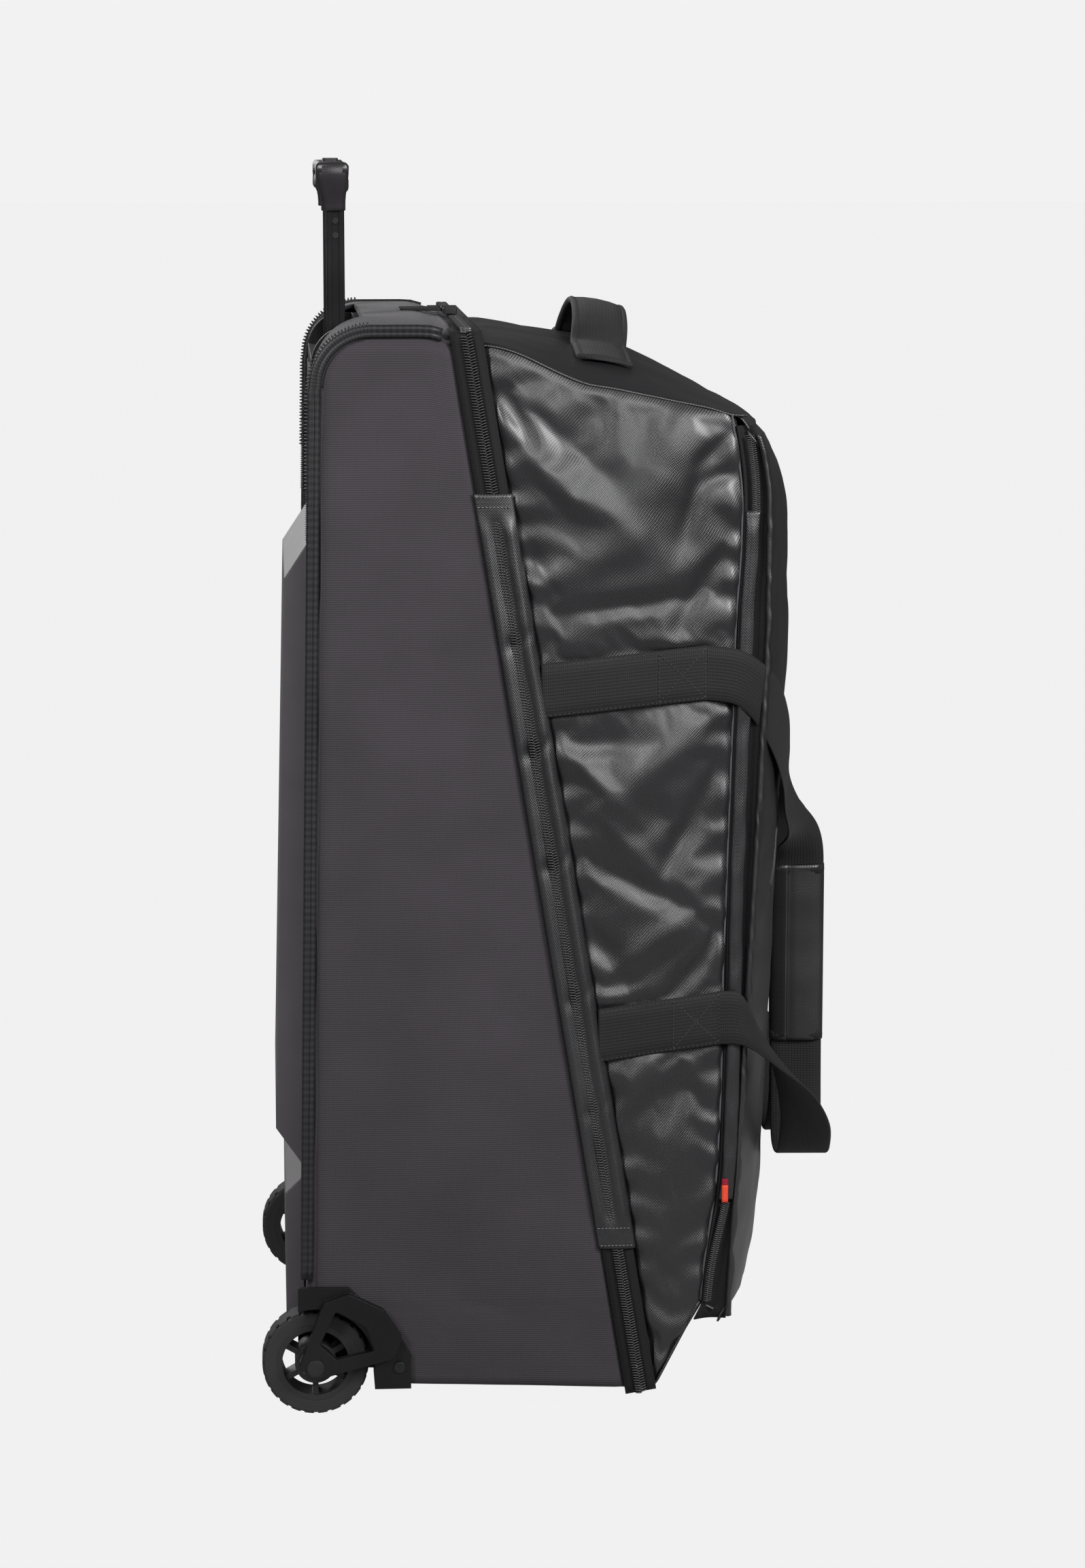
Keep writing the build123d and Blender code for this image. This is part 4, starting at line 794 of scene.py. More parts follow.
twill.links.new(twill_height, twill_out.inputs["Height"])
# Painted shade: the colour mask follows the twill's height, lighter on its raised lines and darker between them; the
# fuzz in it is random tone.
twill.links.new(maths(twill, "MULTIPLY_ADD", twill_height, 0.25, 0.45), twill_out.inputs["Painted Shade And Fuzz"])
laminate = cloth_finish("laminate", twill, (0.006, 0.006, 0.0068), (0.015, 0.015, 0.017), 0.37,
                        0.5, 0.0003, gloss=0.6, coat=0.35, Pitch=1.9)
LID_TOP_BACK_Z = 757.0


def along_stops(stops, z):
    """The value at a height, from pairs of height and value in rising order."""
    for (z0, x0), (z1, x1) in zip(stops, stops[1:]):
        if z <= z1:
            return x0 + (x1 - x0) * max(0.0, z - z0) / (z1 - z0)
    return stops[-1][1]


SEAM_STOPS = [(77, 274), (110, 276.5), (135, 281), (167, 286), (282, 289), (379, 290), (576, 296), (606, 298.5),
              (657, 299.5), (677, 296.5), (697, 294), (705, 291)]


def seam_x(z):
    """The lid's front seam."""
    return sum(along_stops(SEAM_STOPS, z + d) for d in (-14, -7, 0, 7, 14)) / 5


def lid_top_z(x):
    """The lid side's upper seam, falling to the front."""
    t = max(0.0, (x - 118) / (288 - 118))
    return 753 - 20 * ease(t * 2.2) - 28 * t ** 1.6


def dent(x, z, cx, cz, length, width, angle, depth):
    """One soft fold: a long hollow about a centre, turned by an angle in degrees."""
    turn = math.radians(angle)
    along = (x - cx) * math.cos(turn) + (z - cz) * math.sin(turn)
    across = -(x - cx) * math.sin(turn) + (z - cz) * math.cos(turn)
    return depth * math.exp(-(along / length) ** 2 - (across / width) ** 2)


# The webbing's stretches across the lid's sides: height at the zip, and X of the free end.
STRAPS = {"upper": (514.0, 273.0), "lower": (271.0, 284.0)}
STRAP_RISE = 13.0


def strap_height(z, end_x, x):
    return z + STRAP_RISE * (x - zip_x(z)) / (end_x - zip_x(z))


def strap_hold(x, z):
    """How firmly the webbing presses the lid's side at a place, from 0 to 1."""
    return max(1 - ease((abs(z - strap_height(low, end_x, x)) - 15) / 8) for low, end_x in STRAPS.values())


# Folds of the lid's side: centre X and Z, half length, half width, angle, depth out from the panel.
SIDE_FOLDS = [(128, 690, 34, 7, -72, 5.0), (143, 702, 30, 6, -60, -4.0), (160, 668, 52, 9, -48, 5.0),
              (172, 690, 46, 8, -40, -4.5), (200, 640, 56, 11, -38, 4.0), (150, 612, 34, 8, -62, -5.0),
              (178, 598, 44, 11, 24, 4.5), (240, 664, 60, 16, 66, 5.0), (262, 640, 44, 8, 74, -5.5),
              (283, 684, 17, 5, 40, -4.0), (284, 662, 15, 5, 20, -4.0), (272, 590, 36, 8, 58, -5.0),
              (225, 575, 54, 8, 6, -4.5), (248, 548, 34, 6, -12, 4.0), (205, 478, 24, 9, -4, -7.0),
              (196, 452, 44, 8, -44, 5.0), (238, 462, 46, 12, 40, 6.5), (262, 420, 52, 9, 64, -7.0),
              (222, 405, 40, 9, -52, 5.0), (240, 372, 52, 9, -28, -5.0), (205, 330, 36, 9, -58, -6.5),
              (238, 338, 52, 10, 36, 6.0), (268, 322, 34, 7, 52, -5.0), (214, 300, 26, 6, 10, 3.5),
              (226, 238, 40, 9, 62, 4.5), (250, 226, 40, 8, 78, -3.5), (262, 190, 46, 10, 84, 3.5),
              (236, 132, 46, 12, 76, 3.5), (246, 88, 30, 10, 60, -3.0)]


def lid_side(side):
    def place(u, v):
        x0z = 16 + (LID_TOP_BACK_Z - 16) * v
        x0 = zip_x(x0z) + 9
        toe = min(1.0, v / 0.075)
        front_z = 19 + (77 - 19) * toe if v < 0.075 else 77 + (703 - 77) * (v - 0.075) / 0.925
        x1 = (240 + (274 - 240) * toe) if v < 0.075 else seam_x(front_z)
        x = x0 + (x1 - x0) * u
        z = x0z + (front_z - x0z) * u
        if v > 0.85:
            top = lid_top_z(x)
            straight = LID_TOP_BACK_Z + (703 - LID_TOP_BACK_Z) * u
            z += (top - straight) * ((v - 0.85) / 0.15)
        inner = min(u, 1 - u) * (x1 - x0)
        free = 1 - strap_hold(x, z)
        loose = ease(inner / 12) * ease((1 - v) * 700 / 12) * free
        belly = 2.5 * math.sin(math.pi * u) * math.sin(math.pi * min(1, v * 1.02)) ** 0.5
        folds = sum(dent(x, z, *fold) for fold in SIDE_FOLDS) * 0.65
        folds += 1.6 * wander(x, z, 50, 11 + side) + 0.7 * wander(x, z, 20, 21 + side)
        pucker = 1.5 * (1 - ease(inner / 24)) * math.sin(z / 4.6 + 3 * wander(x, z, 60, 2)) * ease(inner / 3)
        roll = 4.0 * (1 - ease(inner / 6)) + 4.0 * (1 - ease((1 - v) * 110))
        return x, side * (HALF - 0.9 + belly + loose * folds + pucker * free - roll), z
    return place


def sewn_hold(u, v, x, z):
    """1 where the side is sewn or pressed, falling to 0 in the open cloth."""
    seam = min(min(u, 1 - u) * 40, min(v, 1 - v) * 120)
    return max(1 - ease(seam / 3), strap_hold(x, z))


FRAMES = 18                 # how long the cloth is left to settle
CUT_LARGE = 0.010           # how much larger the cloth is cut than its place
MOST_MOVED = 0.0045         # metres


def crumple(piece, sewn, growth, push, cap):
    """Lets cloth that is cut a little large settle between its sewn places."""
    group = piece.vertex_groups.new(name="sewn")
    for vertex, held in enumerate(sewn):
        group.add([vertex], held, "REPLACE")
    before = [vertex.co.copy() for vertex in piece.data.vertices]
    cloth = hold(piece, "CLOTH")
    cloth.settings.quality = 5
    cloth.settings.mass = 0.2
    cloth.settings.tension_stiffness = 20
    cloth.settings.compression_stiffness = 20
    cloth.settings.shear_stiffness = 8
    cloth.settings.bending_stiffness = 1.5
    cloth.settings.shrink_min = -growth
    cloth.settings.use_pressure = True
    cloth.settings.uniform_pressure_force = push
    cloth.settings.effector_weights.gravity = 0
    cloth.settings.vertex_group_mass = "sewn"
    cloth.point_cache.frame_start = 1
    cloth.point_cache.frame_end = FRAMES
    for number in range(1, FRAMES + 1):
        scene.frame_set(number)
    settle(piece)
    for vertex, start in zip(piece.data.vertices, before):
        moved = vertex.co - start
        if moved.length > cap:
            vertex.co = start + moved * (cap / moved.length)


for side, word in ((-1, "right"), (1, "left")):
    panel("lid_side_cloth_" + word, 48, 190, lid_side(side), side * -1.2, laminate, "lid",
          ["lid_side_" + word], rounds=1, slack=(sewn_hold, CUT_LARGE, -side * 1.0, MOST_MOVED))


def lid_top_place(u, v):
    """From the zip forward over the shoulder to the front seam; v runs across."""
    x = 117 + (300 - 117) * u
    y = -HALF + 3 + (2 * HALF - 6) * v
    edge = lid_top_z(min(x, 288)) - 1.5
    middle = 757 - 15 * (max(0.0, x - 117) / 108) ** 1.4 if x < 225 else 742 - 38 * ((x - 225) / 75) ** 1.15
    crown = (1 - abs(y / HALF) ** 2.6)
    folds = 1.6 * wander(x, y, 60, 31) + 0.8 * wander(x, y, 24, 37)
    return x, y, edge + (middle - edge) * crown + folds * ease(min(u, 1 - u) * 12)


panel("lid_top_cloth", 50, 90, lid_top_place, 1.5, laminate, "lid", ["lid_top_panel"])


def lid_bottom_place(u, v):
    """From the zip's foot forward up the toe to the front seam."""
    y = -HALF + 2 + (2 * HALF - 4) * v
    x = 232 + (270.5 - 232) * u
    side = ease((abs(y) - 40) / (HALF - 40))
    z = 3.0 + 74.5 * u
    z += side * max(0.0, 19 - z) + 0.6 * wander(x, y, 40, 41) * ease(u * 6)
    return x, y, max(z, 0.8)


panel("lid_bottom_cloth", 24, 80, lid_bottom_place, 1.5, laminate, "lid", ["lid_bottom_panel"])
lining = cloth_finish("lining", woven_ribs, (0.05, 0.05, 0.055), (0.09, 0.09, 0.1), 0.8, 0.3, 0.0002,
                      Rib=0.9, Cross=0.9)


def lid_lining_place(u, v):
    z = 78 + (704 - 78) * v
    y = -HALF + 3 + (2 * HALF - 6) * u
    return seam_x(z) - 1.5 + 1.5 * wander(y, z, 70, 51), y, z


panel("lid_lining", 60, 100, lid_lining_place, 1.2, lining, "lid", ["lid_front_panel"])

# ---- Front pocket: one bowed laminate panel with a crinkled, bound edge down each side.
# It is sewn to the lid's front seam through a dark gusset that carries the side zips.
POCKET_EDGE_Y = HALF - 5.0


def pocket_edge_x(z):
    """The bound edge down the pocket's side."""
    if z > 640:
        return 316 - 10 * ((z - 640) / 55) ** 2
    return 316 if z > 560 else 316 - 24 * ((560 - z) / 480) ** 1.1


def pocket_front_x(z):
    """The pocket's front at the bag's middle."""
    return along_stops([(60, 317), (105, 328.5), (170, 333), (370, 340), (540, 347), (636, 347), (675, 334),
                        (694, 319)], z)


def soft_front_x(z):
    """The same, smoothed over 30 mm."""
    return sum(pocket_front_x(min(694, max(60, z + d))) for d in (-24, -12, 0, 12, 24)) / 5


def pocket_place(u, v):
    z = 62 + (692 - 62) * v
    y = -POCKET_EDGE_Y + 2 * POCKET_EDGE_Y * u
    bow = (1 - abs(y / POCKET_EDGE_Y) ** 2.4)
    edge = pocket_edge_x(z)
    end = ease(min(v, 1 - v) * 630 / 14)
    folds = (2.0 * wander(y, z, 70, 61) + 1.1 * wander(y, z, 26, 67)) * ease((1 - abs(y / POCKET_EDGE_Y)) * 12)
    x = edge + (soft_front_x(z) - edge) * bow
    return x - 6 * (1 - end) + folds * end - 1.2, y, z


panel("pocket_cloth", 90, 150, pocket_place, -1.4, laminate, "lid", ["pocket_panel"])
gusset_tape = cloth_finish("gusset_tape", woven_ribs, (0.0045, 0.004, 0.0045), (0.012, 0.011, 0.012), 0.8,
                           0.5, 0.0003, sheen=0.03, Rib=1.2, Cross=1.6)


def gusset(side):
    def place(u, v):
        z = 64 + (696 - 64) * v
        x0, x1 = seam_x(max(z, 77)) - (0 if z > 77 else (77 - z) * 0.5), pocket_edge_x(z) - 1
        hollow = 3.5 * math.sin(math.pi * u)
        return x0 + (x1 - x0) * u, side * (HALF - 2.5 - hollow - 2.5 * u), z
    return place


def crinkled_binding(side):
    def place(u, v):
        z = 66 + (690 - 66) * v
        width = 5.0 + 1.6 * wander(z, 3, 18, 71 + side)
        crinkle = 1.5 * wander(z, 9, 9, 77 + side)
        x = pocket_edge_x(z) - 2 + width * u + crinkle * 0.5
        return x, side * (POCKET_EDGE_Y + 0.6 + 2.4 * math.sin(math.pi * u) + crinkle * 0.7), z
    return place


def pocket_top_place(u, v):
    """From the lid's seam forward over the brow of the pocket."""
    y = -POCKET_EDGE_Y + 2 * POCKET_EDGE_Y * v
    bow = 1 - abs(y / POCKET_EDGE_Y) ** 2.4
    x1 = pocket_edge_x(690) + (soft_front_x(690) - pocket_edge_x(690)) * bow - 5
    x = 290 + (x1 - 290) * u
    return x, y, 703.5 - 11.0 * u ** 1.8 + 1.2 * math.sin(math.pi * u) + 0.8 * wander(x, y, 30, 73)


def pocket_foot_place(u, v):
    """From the pocket's hem back to the lid's seam."""
    x, y, z = pocket_top_place(1 - u, v)
    share = (x - 290) / 26
    foot_x = 274 + (pocket_edge_x(66) - 2 - 274) * min(1.0, max(0.0, share))
    return foot_x, y, 74 - 8 * share + 0.5 * wander(x, y, 30, 75)


panel("pocket_top", 10, 80, pocket_top_place, 1.3, laminate, "lid")
panel("pocket_foot", 10, 80, pocket_foot_place, 1.3, laminate, "lid")
for side, word in ((-1, "right"), (1, "left")):
    panel("pocket_gusset_" + word, 8, 120, gusset(side), side * -1.2, gusset_tape, "lid")
    panel("pocket_binding_" + word, 8, 210, crinkled_binding(side), side * -1.0, laminate, "lid")

# ---- Zips: nylon coils on woven tape. The main zip goes up both sides and over the top.
# Each tooth is one turn of the coil, and the two rows lock along the zip's middle line.
zip_tape = gusset_tape
coil_nylon = new_finish("coil_nylon", (0.05, 0.049, 0.049), 0.22)
TAPE_OUT = HALF + 1.2
MAIN_PITCH = 1.9


def coil_row(points, faces, path, out, pitch, reach, offset, thick):
    """A row of coil turns on one side of a path; out gives the outward direction at a place."""
    for place, heading in walk(path, pitch, offset):
        normal = out(place)
        across = normal.cross(heading).normalized()
        middle = place + across * (reach / 2 - math.copysign(0.5, reach)) + normal * (thick / 2)
        lean = across * math.copysign(1.0, reach) + heading * 0.18
        add_bead(points, faces, middle, lean, heading, (abs(reach), pitch * 0.45, thick))


def main_zip_half(side):
    """The main zip's line from its foot to the bag's middle, on one side."""
    spots = [(13, TAPE_OUT - 0.8, 13), (19, TAPE_OUT, 19)] + ([(200, TAPE_OUT, 200)] if side < 0 else []) + [
        (480, TAPE_OUT, 480), (TUB_TOP - 5, TAPE_OUT, TUB_TOP - 5), (TUB_TOP - 1, HALF + 0.2, TUB_TOP - 1.6),
        (TUB_TOP, HALF - 4, TUB_TOP + 1.2)]
    return [(zip_x(along), side * y, z) for along, y, z in spots]


main_path = main_zip_half(-1) + main_zip_half(1)[::-1]


def main_out(place):
    if abs(place.y) > HALF:
        return Vector((0, math.copysign(1, place.y), 0))
    return Vector((0, 0, 1))


def tape_strip(points, faces, path, out, near, far, thick):
    """A flat tape along a path, from near to far across it."""
    rows = []
    for number, place in enumerate(path):
        heading = Vector(path[min(number + 1, len(path) - 1)]) - Vector(path[max(number - 1, 0)])
        normal = out(Vector(place))
        across = normal.cross(heading).normalized()
        middle = Vector(place) - normal * 0.2
        rows.append([tuple(middle + across * near), tuple(middle + across * far),
                     tuple(middle + across * far - normal * thick), tuple(middle + across * near - normal * thick)])
    new_points, new_faces = skin(rows, closed=True, caps=True)
    base = len(points)
    points += new_points
    faces += [tuple(base + i for i in face) for face in new_faces]


for word, sign, body, node in (("rear", 1, "bag_body", "main_zip_rear_tape"),
                               ("lid", -1, "lid", "main_zip_lid_tape")):
    points, faces = [], []
    coil_row(points, faces, main_path, main_out, MAIN_PITCH, sign * 4.6, 0 if sign > 0 else MAIN_PITCH / 2, 2.6)
    teeth = new_piece("main_zip_coil_" + word, points, faces, coil_nylon)
    mount(teeth, body)
    points, faces = [], []
    tape_strip(points, faces, main_path, main_out, sign * 0.3, sign * 11.0, 0.9)
    tape = new_piece("main_zip_tape_" + word, points, faces, zip_tape,
                     [(p[0] + p[1], p[2]) for p in points])
    mount(tape, body, [node])

# Side zips of the pocket: a finer coil that shows above and below its flap.
POCKET_PITCH = 1.5


def pocket_zip_x(z):
    return seam_x(max(77, z)) + 7.5 - (5.0 * (1 - ease((z - 75) / 110)))


def side_out(place):
    return Vector((0, math.copysign(1, place.y), 0))


for side, word in ((-1, "right"), (1, "left")):
    points, faces = [], []
    for z0, z1 in ((78, 152), (636, 694)):
        path = [(pocket_zip_x(z), side * (HALF - 2.2), z) for z in range(z0, z1, 6)]
        coil_row(points, faces, path, side_out, POCKET_PITCH, 3.4, 0, 1.6)
        coil_row(points, faces, path, side_out, POCKET_PITCH, -3.4, POCKET_PITCH / 2, 1.6)
    side_zip = new_piece("pocket_side_coil_" + word, points, faces, coil_nylon)
    mount(side_zip, "lid", ["pocket_side_zips"] if side < 0 else ())

# Curved zip across the pocket's front.
ARCH_HALF, ARCH_TOP, ARCH_FOOT = 130.0, 412.0, 366.0
ARCH_RISE = ARCH_TOP - ARCH_FOOT
ARCH_RADIUS = (ARCH_HALF ** 2 + ARCH_RISE ** 2) / (2 * ARCH_RISE)
arch_path = []
for step in range(53):
    y = -ARCH_HALF + 2 * ARCH_HALF * step / 52
    z = ARCH_TOP - ARCH_RADIUS + math.sqrt(ARCH_RADIUS ** 2 - y ** 2)
    surface_x = pocket_place((y + POCKET_EDGE_Y) / (2 * POCKET_EDGE_Y), (z - 62) / 630)[0]
    arch_path.append((surface_x + 0.8, y, z))


def front_out(place):
    return Vector((1, place.y / 300, 0)).normalized()


points, faces = [], []
coil_row(points, faces, arch_path, front_out, POCKET_PITCH, 3.2, 0, 1.6)
coil_row(points, faces, arch_path, front_out, POCKET_PITCH, -3.2, POCKET_PITCH / 2, 1.6)
arch_coil = new_piece("pocket_front_coil", points, faces, coil_nylon)
points, faces = [], []
tape_strip(points, faces, arch_path, front_out, -7.0, 7.0, 0.8)
arch_tape = new_piece("pocket_front_tape", points, faces, zip_tape, [(p[1], p[2]) for p in points])
for piece in (arch_coil, arch_tape):
    mount(piece, "lid")
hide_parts("pocket_front_zip")

# Corner zips: narrow covered zips beside the piping, down each top back corner.
for side, word in ((-1, "right"), (1, "left")):
    points, faces = [], []
    path = [(back_x(z) - 2.5, side * (HALF - 4.0), z) for z in range(620, 690, 6)]
    coil_row(points, faces, path, side_out, POCKET_PITCH, 2.4, 0, 1.2)
    coil_row(points, faces, path, side_out, POCKET_PITCH, -2.4, POCKET_PITCH / 2, 1.2)
    corner_zip = new_piece("corner_coil_" + word, points, faces, coil_nylon)
    mount(corner_zip, "bag_body", ["corner_zips"] if side < 0 else ())

# Sliders and pulls: die-cast and painted black.
slider_paint = moulded_finish("slider_paint", (0.012, 0.012, 0.012), (0.1, 0.1, 0.1), 0.32, metallic=0.5,
                              depth=0.00003)
for node in ("main_slider_right", "main_slider_left", "main_pull_right", "main_pull_left", "pocket_slider",
             "pocket_pull"):
    finish_node(node, slider_paint)

# ---- Storm flaps: laminate folded double over the main zip, puffed, with a stitched band at each end.
# Sewn along the rear seam only, so the lid's tape slips out from under them.
FLAP_LOW, FLAP_TOP = 119.0, 651.0
flap_thread = new_finish("flap_thread", (0.16, 0.155, 0.16), 0.7)


def main_flap(side):
    def place(u, v):
        z = FLAP_LOW + (FLAP_TOP - FLAP_LOW) * v
        x = zip_x(z) - 13.5 + 27.0 * u + 1.0 * wander(z, 5, 40, 81 + side) * u
        end = min(v, 1 - v) * (FLAP_TOP - FLAP_LOW)
        ridges = 2.8 * math.exp(-((u - 0.78) / 0.14) ** 2) + 1.6 * math.exp(-((u - 0.14) / 0.12) ** 2)
        hollow = 2.2 * math.exp(-((u - 0.45) / 0.17) ** 2)
        puff = 2.4 * math.sin(math.pi * u) ** 0.5 + (ridges - hollow) * ease((end - 12) / 16) - 1.2
        crease = (0.7 * wander(x, z, 24, 83 + side) + 1.5 * wander(x * 2, z, 70, 85 + side)) * ease((end - 12) / 20)
        pinch = sum(-depth * math.exp(-((z - middle - 14 * (u - 0.5)) / 5) ** 2)
                    for middle, depth in ((475, 1.9), (395, 1.5), (550, 1.3), (300, 0.9), (220, 0.8)))
        return x, side * (HALF + 3.0 + puff + (crease + pinch) * math.sin(math.pi * u)), z
    return place


def front_flap(side):
    def place(u, v):
        z = 152 + (638 - 152) * v
        x = seam_x(z) + 0.5 + 10.0 * u + 0.8 * wander(z, 5, 30, 91 + side) * u
        end = min(v, 1 - v) * 480
        puff = 2.4 * math.sin(math.pi * u ** 0.8) * (0.3 + 0.7 * ease(end / 16))
        crease = 1.2 * wander(x, z, 20, 93 + side) * ease(end / 16)
        return x, side * (HALF - 1.6 + puff + crease * math.sin(math.pi * u)), z
    return place


for side, word in ((-1, "right"), (1, "left")):
    flap = panel("storm_flap_cloth_" + word, 20, 200, main_flap(side), side * -1.0, laminate, "bag_body",
                 ["storm_flap_" + word])
    points, faces = [], []
    for z in (FLAP_LOW + 2.5, FLAP_LOW + 15, FLAP_TOP - 9, FLAP_TOP - 2):
        ends = [Vector((zip_x(z) + shift, side * (HALF + 4.4), z)) for shift in (-11.5, 11.5)]
        add = Vector((0, side, 0))
        for place, heading in walk(ends, 2.6, 0.6):
            add_bead(points, faces, place, heading, add.cross(heading), (1.7, 0.6, 0.9))
    flap_stitches = new_piece("storm_flap_stitches_" + word, points, faces, flap_thread)
    mount(flap_stitches, "bag_body")
    panel("pocket_flap_" + word, 10, 160, front_flap(side), side * -1.0, laminate, "lid")

# ---- Webbing: 38 mm ribbed nylon, sewn across the lid's sides, with a stitched box and cross at
# each free end. One loop on each side runs on to the hand wrap and hangs in a slack bight.
webbing_weave = cloth_finish("webbing_weave", woven_ribs, (0.007, 0.0065, 0.007), (0.021, 0.0195, 0.021), 0.68,
                             0.8, 0.0004, sheen=0.04, Rib=1.3, Cross=2.3)
thread_black = new_finish("thread_black", (0.03, 0.03, 0.03), 0.6)
WEB_HALF, WEB_THICK = 19.0, 1.7


def spline(stations, steps):
    """A smooth run through stations of equal-length number rows."""
    rows = []
    last = len(stations) - 1
    for number in range(last):
        p0, p1 = stations[max(number - 1, 0)], stations[number]
        p2, p3 = stations[number + 1], stations[min(number + 2, last)]
        for step in range(steps):
            t = step / steps
            rows.append([0.5 * (2 * b + (c - a) * t + (2 * a - 5 * b + 4 * c - d) * t * t
                                + (3 * b - a - 3 * c + d) * t ** 3) for a, b, c, d in zip(p0, p1, p2, p3)])
    rows.append(list(stations[-1]))
    return rows


def webbing(name, stations, steps, body, half=WEB_HALF, curl=0.0):
    """A strap through stations: the middle's place, then the width's direction."""
    rows, surface = [], []
    samples = spline(stations, steps)
    run = 0.0
    for number, sample in enumerate(samples):
        middle, across = Vector(sample[:3]), Vector(sample[3:6]).normalized()
        before = Vector(samples[max(number - 1, 0)][:3])
        after = Vector(samples[min(number + 1, len(samples) - 1)][:3])
        heading = after - before
        normal = heading.cross(across).normalized()
        if number:
            run += (middle - before).length
        row = []
        for share, depth in ((-1, 0), (-0.94, 0.5), (-0.5, 0.5), (0, 0.5), (0.5, 0.5), (0.94, 0.5), (1, 0),
                             (0.94, -0.5), (0.5, -0.5), (0, -0.5), (-0.5, -0.5), (-0.94, -0.5)):
            bend = curl * (1 - share ** 2)
            row.append(tuple(middle + across * (share * half) + normal * (depth * WEB_THICK + bend)))
            surface.append((share * half, run))
        rows.append(row)
    piece = new_piece(name, *skin(rows, closed=True, caps=True), webbing_weave, surface)
    if body:
        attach(piece, body)
    return piece


def stitch_line(points, faces, start, end, out, pitch=3.2):
    """A run of stitches from start to end, lying on the side that out points to."""
    for place, heading in walk([start, end], pitch, 1.0):
        add_bead(points, faces, place + out * 0.15, heading, out.cross(heading), (2.1, 0.55, 0.45))


strap_y = HALF + 2.8
for side, word in ((-1, "right"), (1, "left")):
    points, faces = [], []
    out = Vector((0, side, 0))
    for place_word, (z, end_x) in STRAPS.items():
        x0 = zip_x(z) + 11
        stations = []
        for step in range(6):
            x = x0 + (end_x - x0) * step / 5
            dip = 0.8 * math.sin(step * 1.7 + z)
            stations.append((x, side * (strap_y + 0.5 + dip * 0.4), strap_height(z, end_x, x), 0.0, 0.0, 1.0))
        strap = webbing("sewn_strap_%s_%s" % (place_word, word), stations, 6, "lid")
        if side < 0 and place_word == "upper":
            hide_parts("sewn_webbing")
        y = side * (strap_y + 1.4)
        box_x = end_x - 33
        corners = [(box_x, -17), (end_x - 1, -17), (end_x - 1, 17), (box_x, 17)]
        spots = [Vector((x, y, strap_height(z, end_x, x) + dz)) for x, dz in corners]
        for a, b in ((0, 1), (1, 2), (2, 3), (3, 0), (0, 2), (1, 3)):
            stitch_line(points, faces, spots[a], spots[b], out)
        for dz in (-17, 17):
            stitch_line(points, faces, Vector((x0 + 2, y, strap_height(z, end_x, x0) + dz)),
                        Vector((box_x, y, strap_height(z, end_x, box_x) + dz)), out)
    stitches = new_piece("strap_stitches_" + word, points, faces, thread_black)
    mount(stitches, "lid")

WRAP_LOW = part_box("hand_wrap")[0][2] * 1000
WRAP_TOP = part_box("hand_wrap")[1][2] * 1000
WRAP_BACK = (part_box("hand_wrap")[0][0] - AXLE_X) * 1000
WRAP_FRONT = (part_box("hand_wrap")[1][0] - AXLE_X) * 1000
WRAP_MIDDLE = (WRAP_BACK + WRAP_FRONT) / 2
BIGHT = 146.0


def upper_stations(side):
    z = STRAPS["upper"][0] + STRAP_RISE
    end_x = STRAPS["upper"][1]
    y = strap_y + 0.5
    return [(end_x - 2, side * y, z, 0, 0, 1), (296, side * (y + 0.6), z - 4, 0.1, 0, 1),
            (316, side * (y - 12), z - 22, 0.3, side * -0.12, 0.95), (330, side * 152, z - 49, 0.3, side * -0.5, 0.8),
            (338, side * 120, z - 77, 0.2, side * -0.72, 0.66), (343, side * 88, z - 102, 0.16, side * -0.78, 0.6),
            (353, side * 55, z - 127, 0.3, side * -0.7, 0.5), (360, side * 26, z - 147, 0.8, side * -0.35, 0.3),
            (WRAP_MIDDLE, side * 8, z - 165, 1, side * -0.1, 0.05),
            (WRAP_MIDDLE, side * 2.5, WRAP_TOP - 12, 1, 0, 0)]


def lower_stations(side):
    z = STRAPS["lower"][0] + STRAP_RISE
    end_x = STRAPS["lower"][1]
    y = strap_y + 0.5
    return [(WRAP_MIDDLE, side * 2.5, WRAP_LOW + 8, 1, 0, 0), (WRAP_MIDDLE, side * 5, BIGHT + 36, 1, 0, 0),
            (WRAP_MIDDLE - 1, side * 17, BIGHT + 6, 1, 0, 0), (WRAP_MIDDLE - 1, side * 40, BIGHT, 1, 0, 0),
            (WRAP_MIDDLE - 3, side * 76, BIGHT + 14, 1, 0, -0.1),
            (WRAP_MIDDLE - 8, side * 116, BIGHT + 46, 0.95, 0, -0.3),
            (341, side * 152, BIGHT + 82, 0.8, 0, -0.6), (318, side * (y - 8), z - 22, 0.45, 0, -0.9),
            (300, side * y, z - 2, 0.1, 0, -1), (end_x - 2, side * y, z, 0, 0, -1)]


for side, word in ((-1, "right"), (1, "left")):
    upper = webbing("haul_upper_" + word, upper_stations(side), 8, None)
    lower = webbing("haul_lower_" + word, lower_stations(side), 8, None)
    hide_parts("haul_loop_" + word)
    for piece in (upper, lower):
        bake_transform(piece)

# ---- Hand wrap: a padded laminate sleeve closed round both loops, bound with dark tape at its ends.
# Its back half is matt, its front half glossier where the flap closes over.
def wrap_place(u, v):
    """Round the sleeve by u, up it by v."""
    z = WRAP_LOW + (WRAP_TOP - WRAP_LOW) * v
    angle = 2 * math.pi * u
    waist = 0.93 - 0.07 * math.cos(2 * math.pi * (v - 0.5))
    half_x = (WRAP_FRONT - WRAP_BACK) / 2
    x = half_x * math.copysign(abs(math.cos(angle)) ** 0.6, math.cos(angle))
    y = 6.6 * math.copysign(abs(math.sin(angle)) ** 0.75, math.sin(angle)) * waist
    crease = 0.5 * wander(z, angle * 9, 20, 101)
    groove = -1.0 * math.exp(-((x + 7) / 1.3) ** 2)
    return WRAP_MIDDLE + x, y + math.copysign(1, y) * (crease + groove) * abs(math.sin(angle)), z


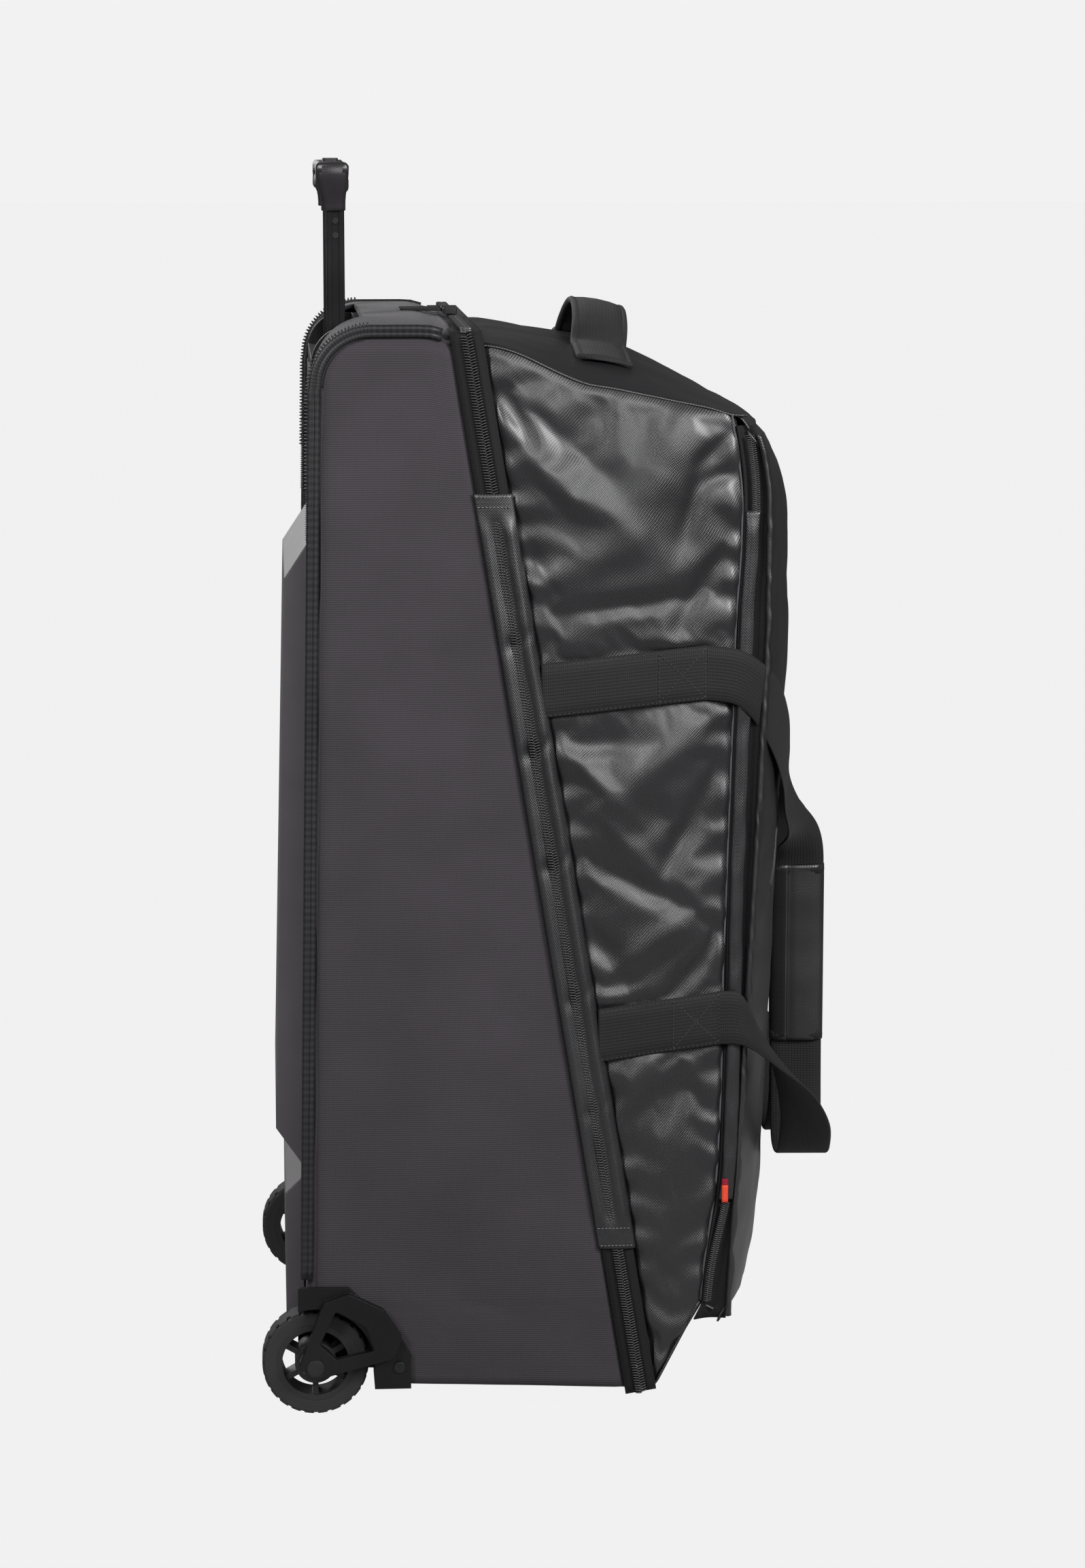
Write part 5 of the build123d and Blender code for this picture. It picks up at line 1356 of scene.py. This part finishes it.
wrap = panel("hand_wrap_cloth", 64, 60, wrap_place, -1.2, laminate, "haul_handle", ["hand_wrap"])


def wrap_core_place(u, v):
    x, y, z = wrap_place(u, 0.02 + 0.96 * v)
    return x - 0.3, y + math.copysign(0.5, y), z


panel("hand_wrap_core", 64, 60, wrap_core_place, -0.8, gusset_tape, "haul_handle",
      cut=lambda x, y, z: x > WRAP_MIDDLE - 7.5)
for end, z in (("top", WRAP_TOP - 3.5), ("foot", WRAP_LOW + 3.5)):
    ring = [wrap_place(step / 40, 0.02 if end == "foot" else 0.98) for step in range(41)]
    middle = Vector((WRAP_MIDDLE, 0, 0))
    rows = []
    for dz, grow in ((-3.6, 0.2), (-3.2, 0.9), (0, 1.2), (3.2, 0.9), (3.6, 0.2), (3.4, -1.0), (-3.4, -1.0)):
        rows.append([(p[0] + math.copysign(grow, p[0] - WRAP_MIDDLE) * (abs(p[0] - WRAP_MIDDLE) > 9),
                      p[1] + math.copysign(grow, p[1]), z + dz) for p in ring])
    points, faces = skin(rows + [rows[0]])
    binding = new_piece("wrap_binding_" + end, points, faces, webbing_weave,
                        [(p[2], p[0] + p[1]) for p in points])
    mount(binding, "haul_handle")

# ---- Grab handle: webbing over foam, folded and bound along both edges, sewn to the lid's top.
# It arches from side to side, just clear of the cloth for a hand.
GRAB_X = 207.0
GRAB_SPAN = 74.0
GRAB_SLOPE = math.atan2(22.0, 117.0)
GRAB_PATCH = 62.0           # length of each end that is sewn down flat


def grab_stations():
    stations = []
    reach = GRAB_SPAN + GRAB_PATCH
    for step in range(-14, 15):
        y = reach * step / 14
        inside = max(0.0, 1 - (y / GRAB_SPAN) ** 2)
        rise = 27.0 * inside ** 0.6
        lie = lid_top_place((GRAB_X - 117) / 183, (y + HALF - 3) / (2 * HALF - 6))[2] + 1.8
        level = lie + (743.5 - lie) * ease(inside * 4)
        stations.append((GRAB_X + rise * math.sin(GRAB_SLOPE), y, level + rise * math.cos(GRAB_SLOPE),
                         math.cos(GRAB_SLOPE), 0, -math.sin(GRAB_SLOPE)))
    return stations


grab = webbing("grab_handle_web", grab_stations(), 4, "lid", half=18.0, curl=-2.0)
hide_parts("grab_handle")
hold(grab, "SOLIDIFY", thickness=0.002, offset=0)
settle(grab)
for edge in (-1, 1):
    path = []
    for sample in spline(grab_stations(), 4):
        middle, across = Vector(sample[:3]), Vector(sample[3:6])
        path.append(tuple(middle + across * (edge * 17.5)))
    tube_along("grab_binding_%s" % ("front" if edge > 0 else "back"), path, 2.6, webbing_weave, "lid")

# ---- Side tag: a small folded ribbon sewn in the lid's front seam.
# It is plain, dark red over orange red.
tag_material = cloth_finish("tag_ribbon", woven_ribs, (0.62, 0.045, 0.02), (0.75, 0.08, 0.04), 0.6, 0.4, 0.0002,
                            Rib=0.8, Cross=0.8)
tag_dark = cloth_finish("tag_ribbon_dark", woven_ribs, (0.2, 0.005, 0.02), (0.28, 0.01, 0.03), 0.6, 0.4, 0.0002,
                        Rib=0.8, Cross=0.8)
tag_x = seam_x(160) + 1.0
for word, z0, z1, material in (("lower", 150.5, 163.0, tag_material), ("upper", 163.0, 167.5, tag_dark)):
    panel("tag_" + word, 4, 6, lambda u, v: (tag_x + 0.5 + 4.5 * u, -HALF - 1.4 - 0.5 * math.sin(math.pi * u),
                                             z0 + (z1 - z0) * v), 0.8, material, "lid",
          ["side_tag"] if word == "lower" else ())
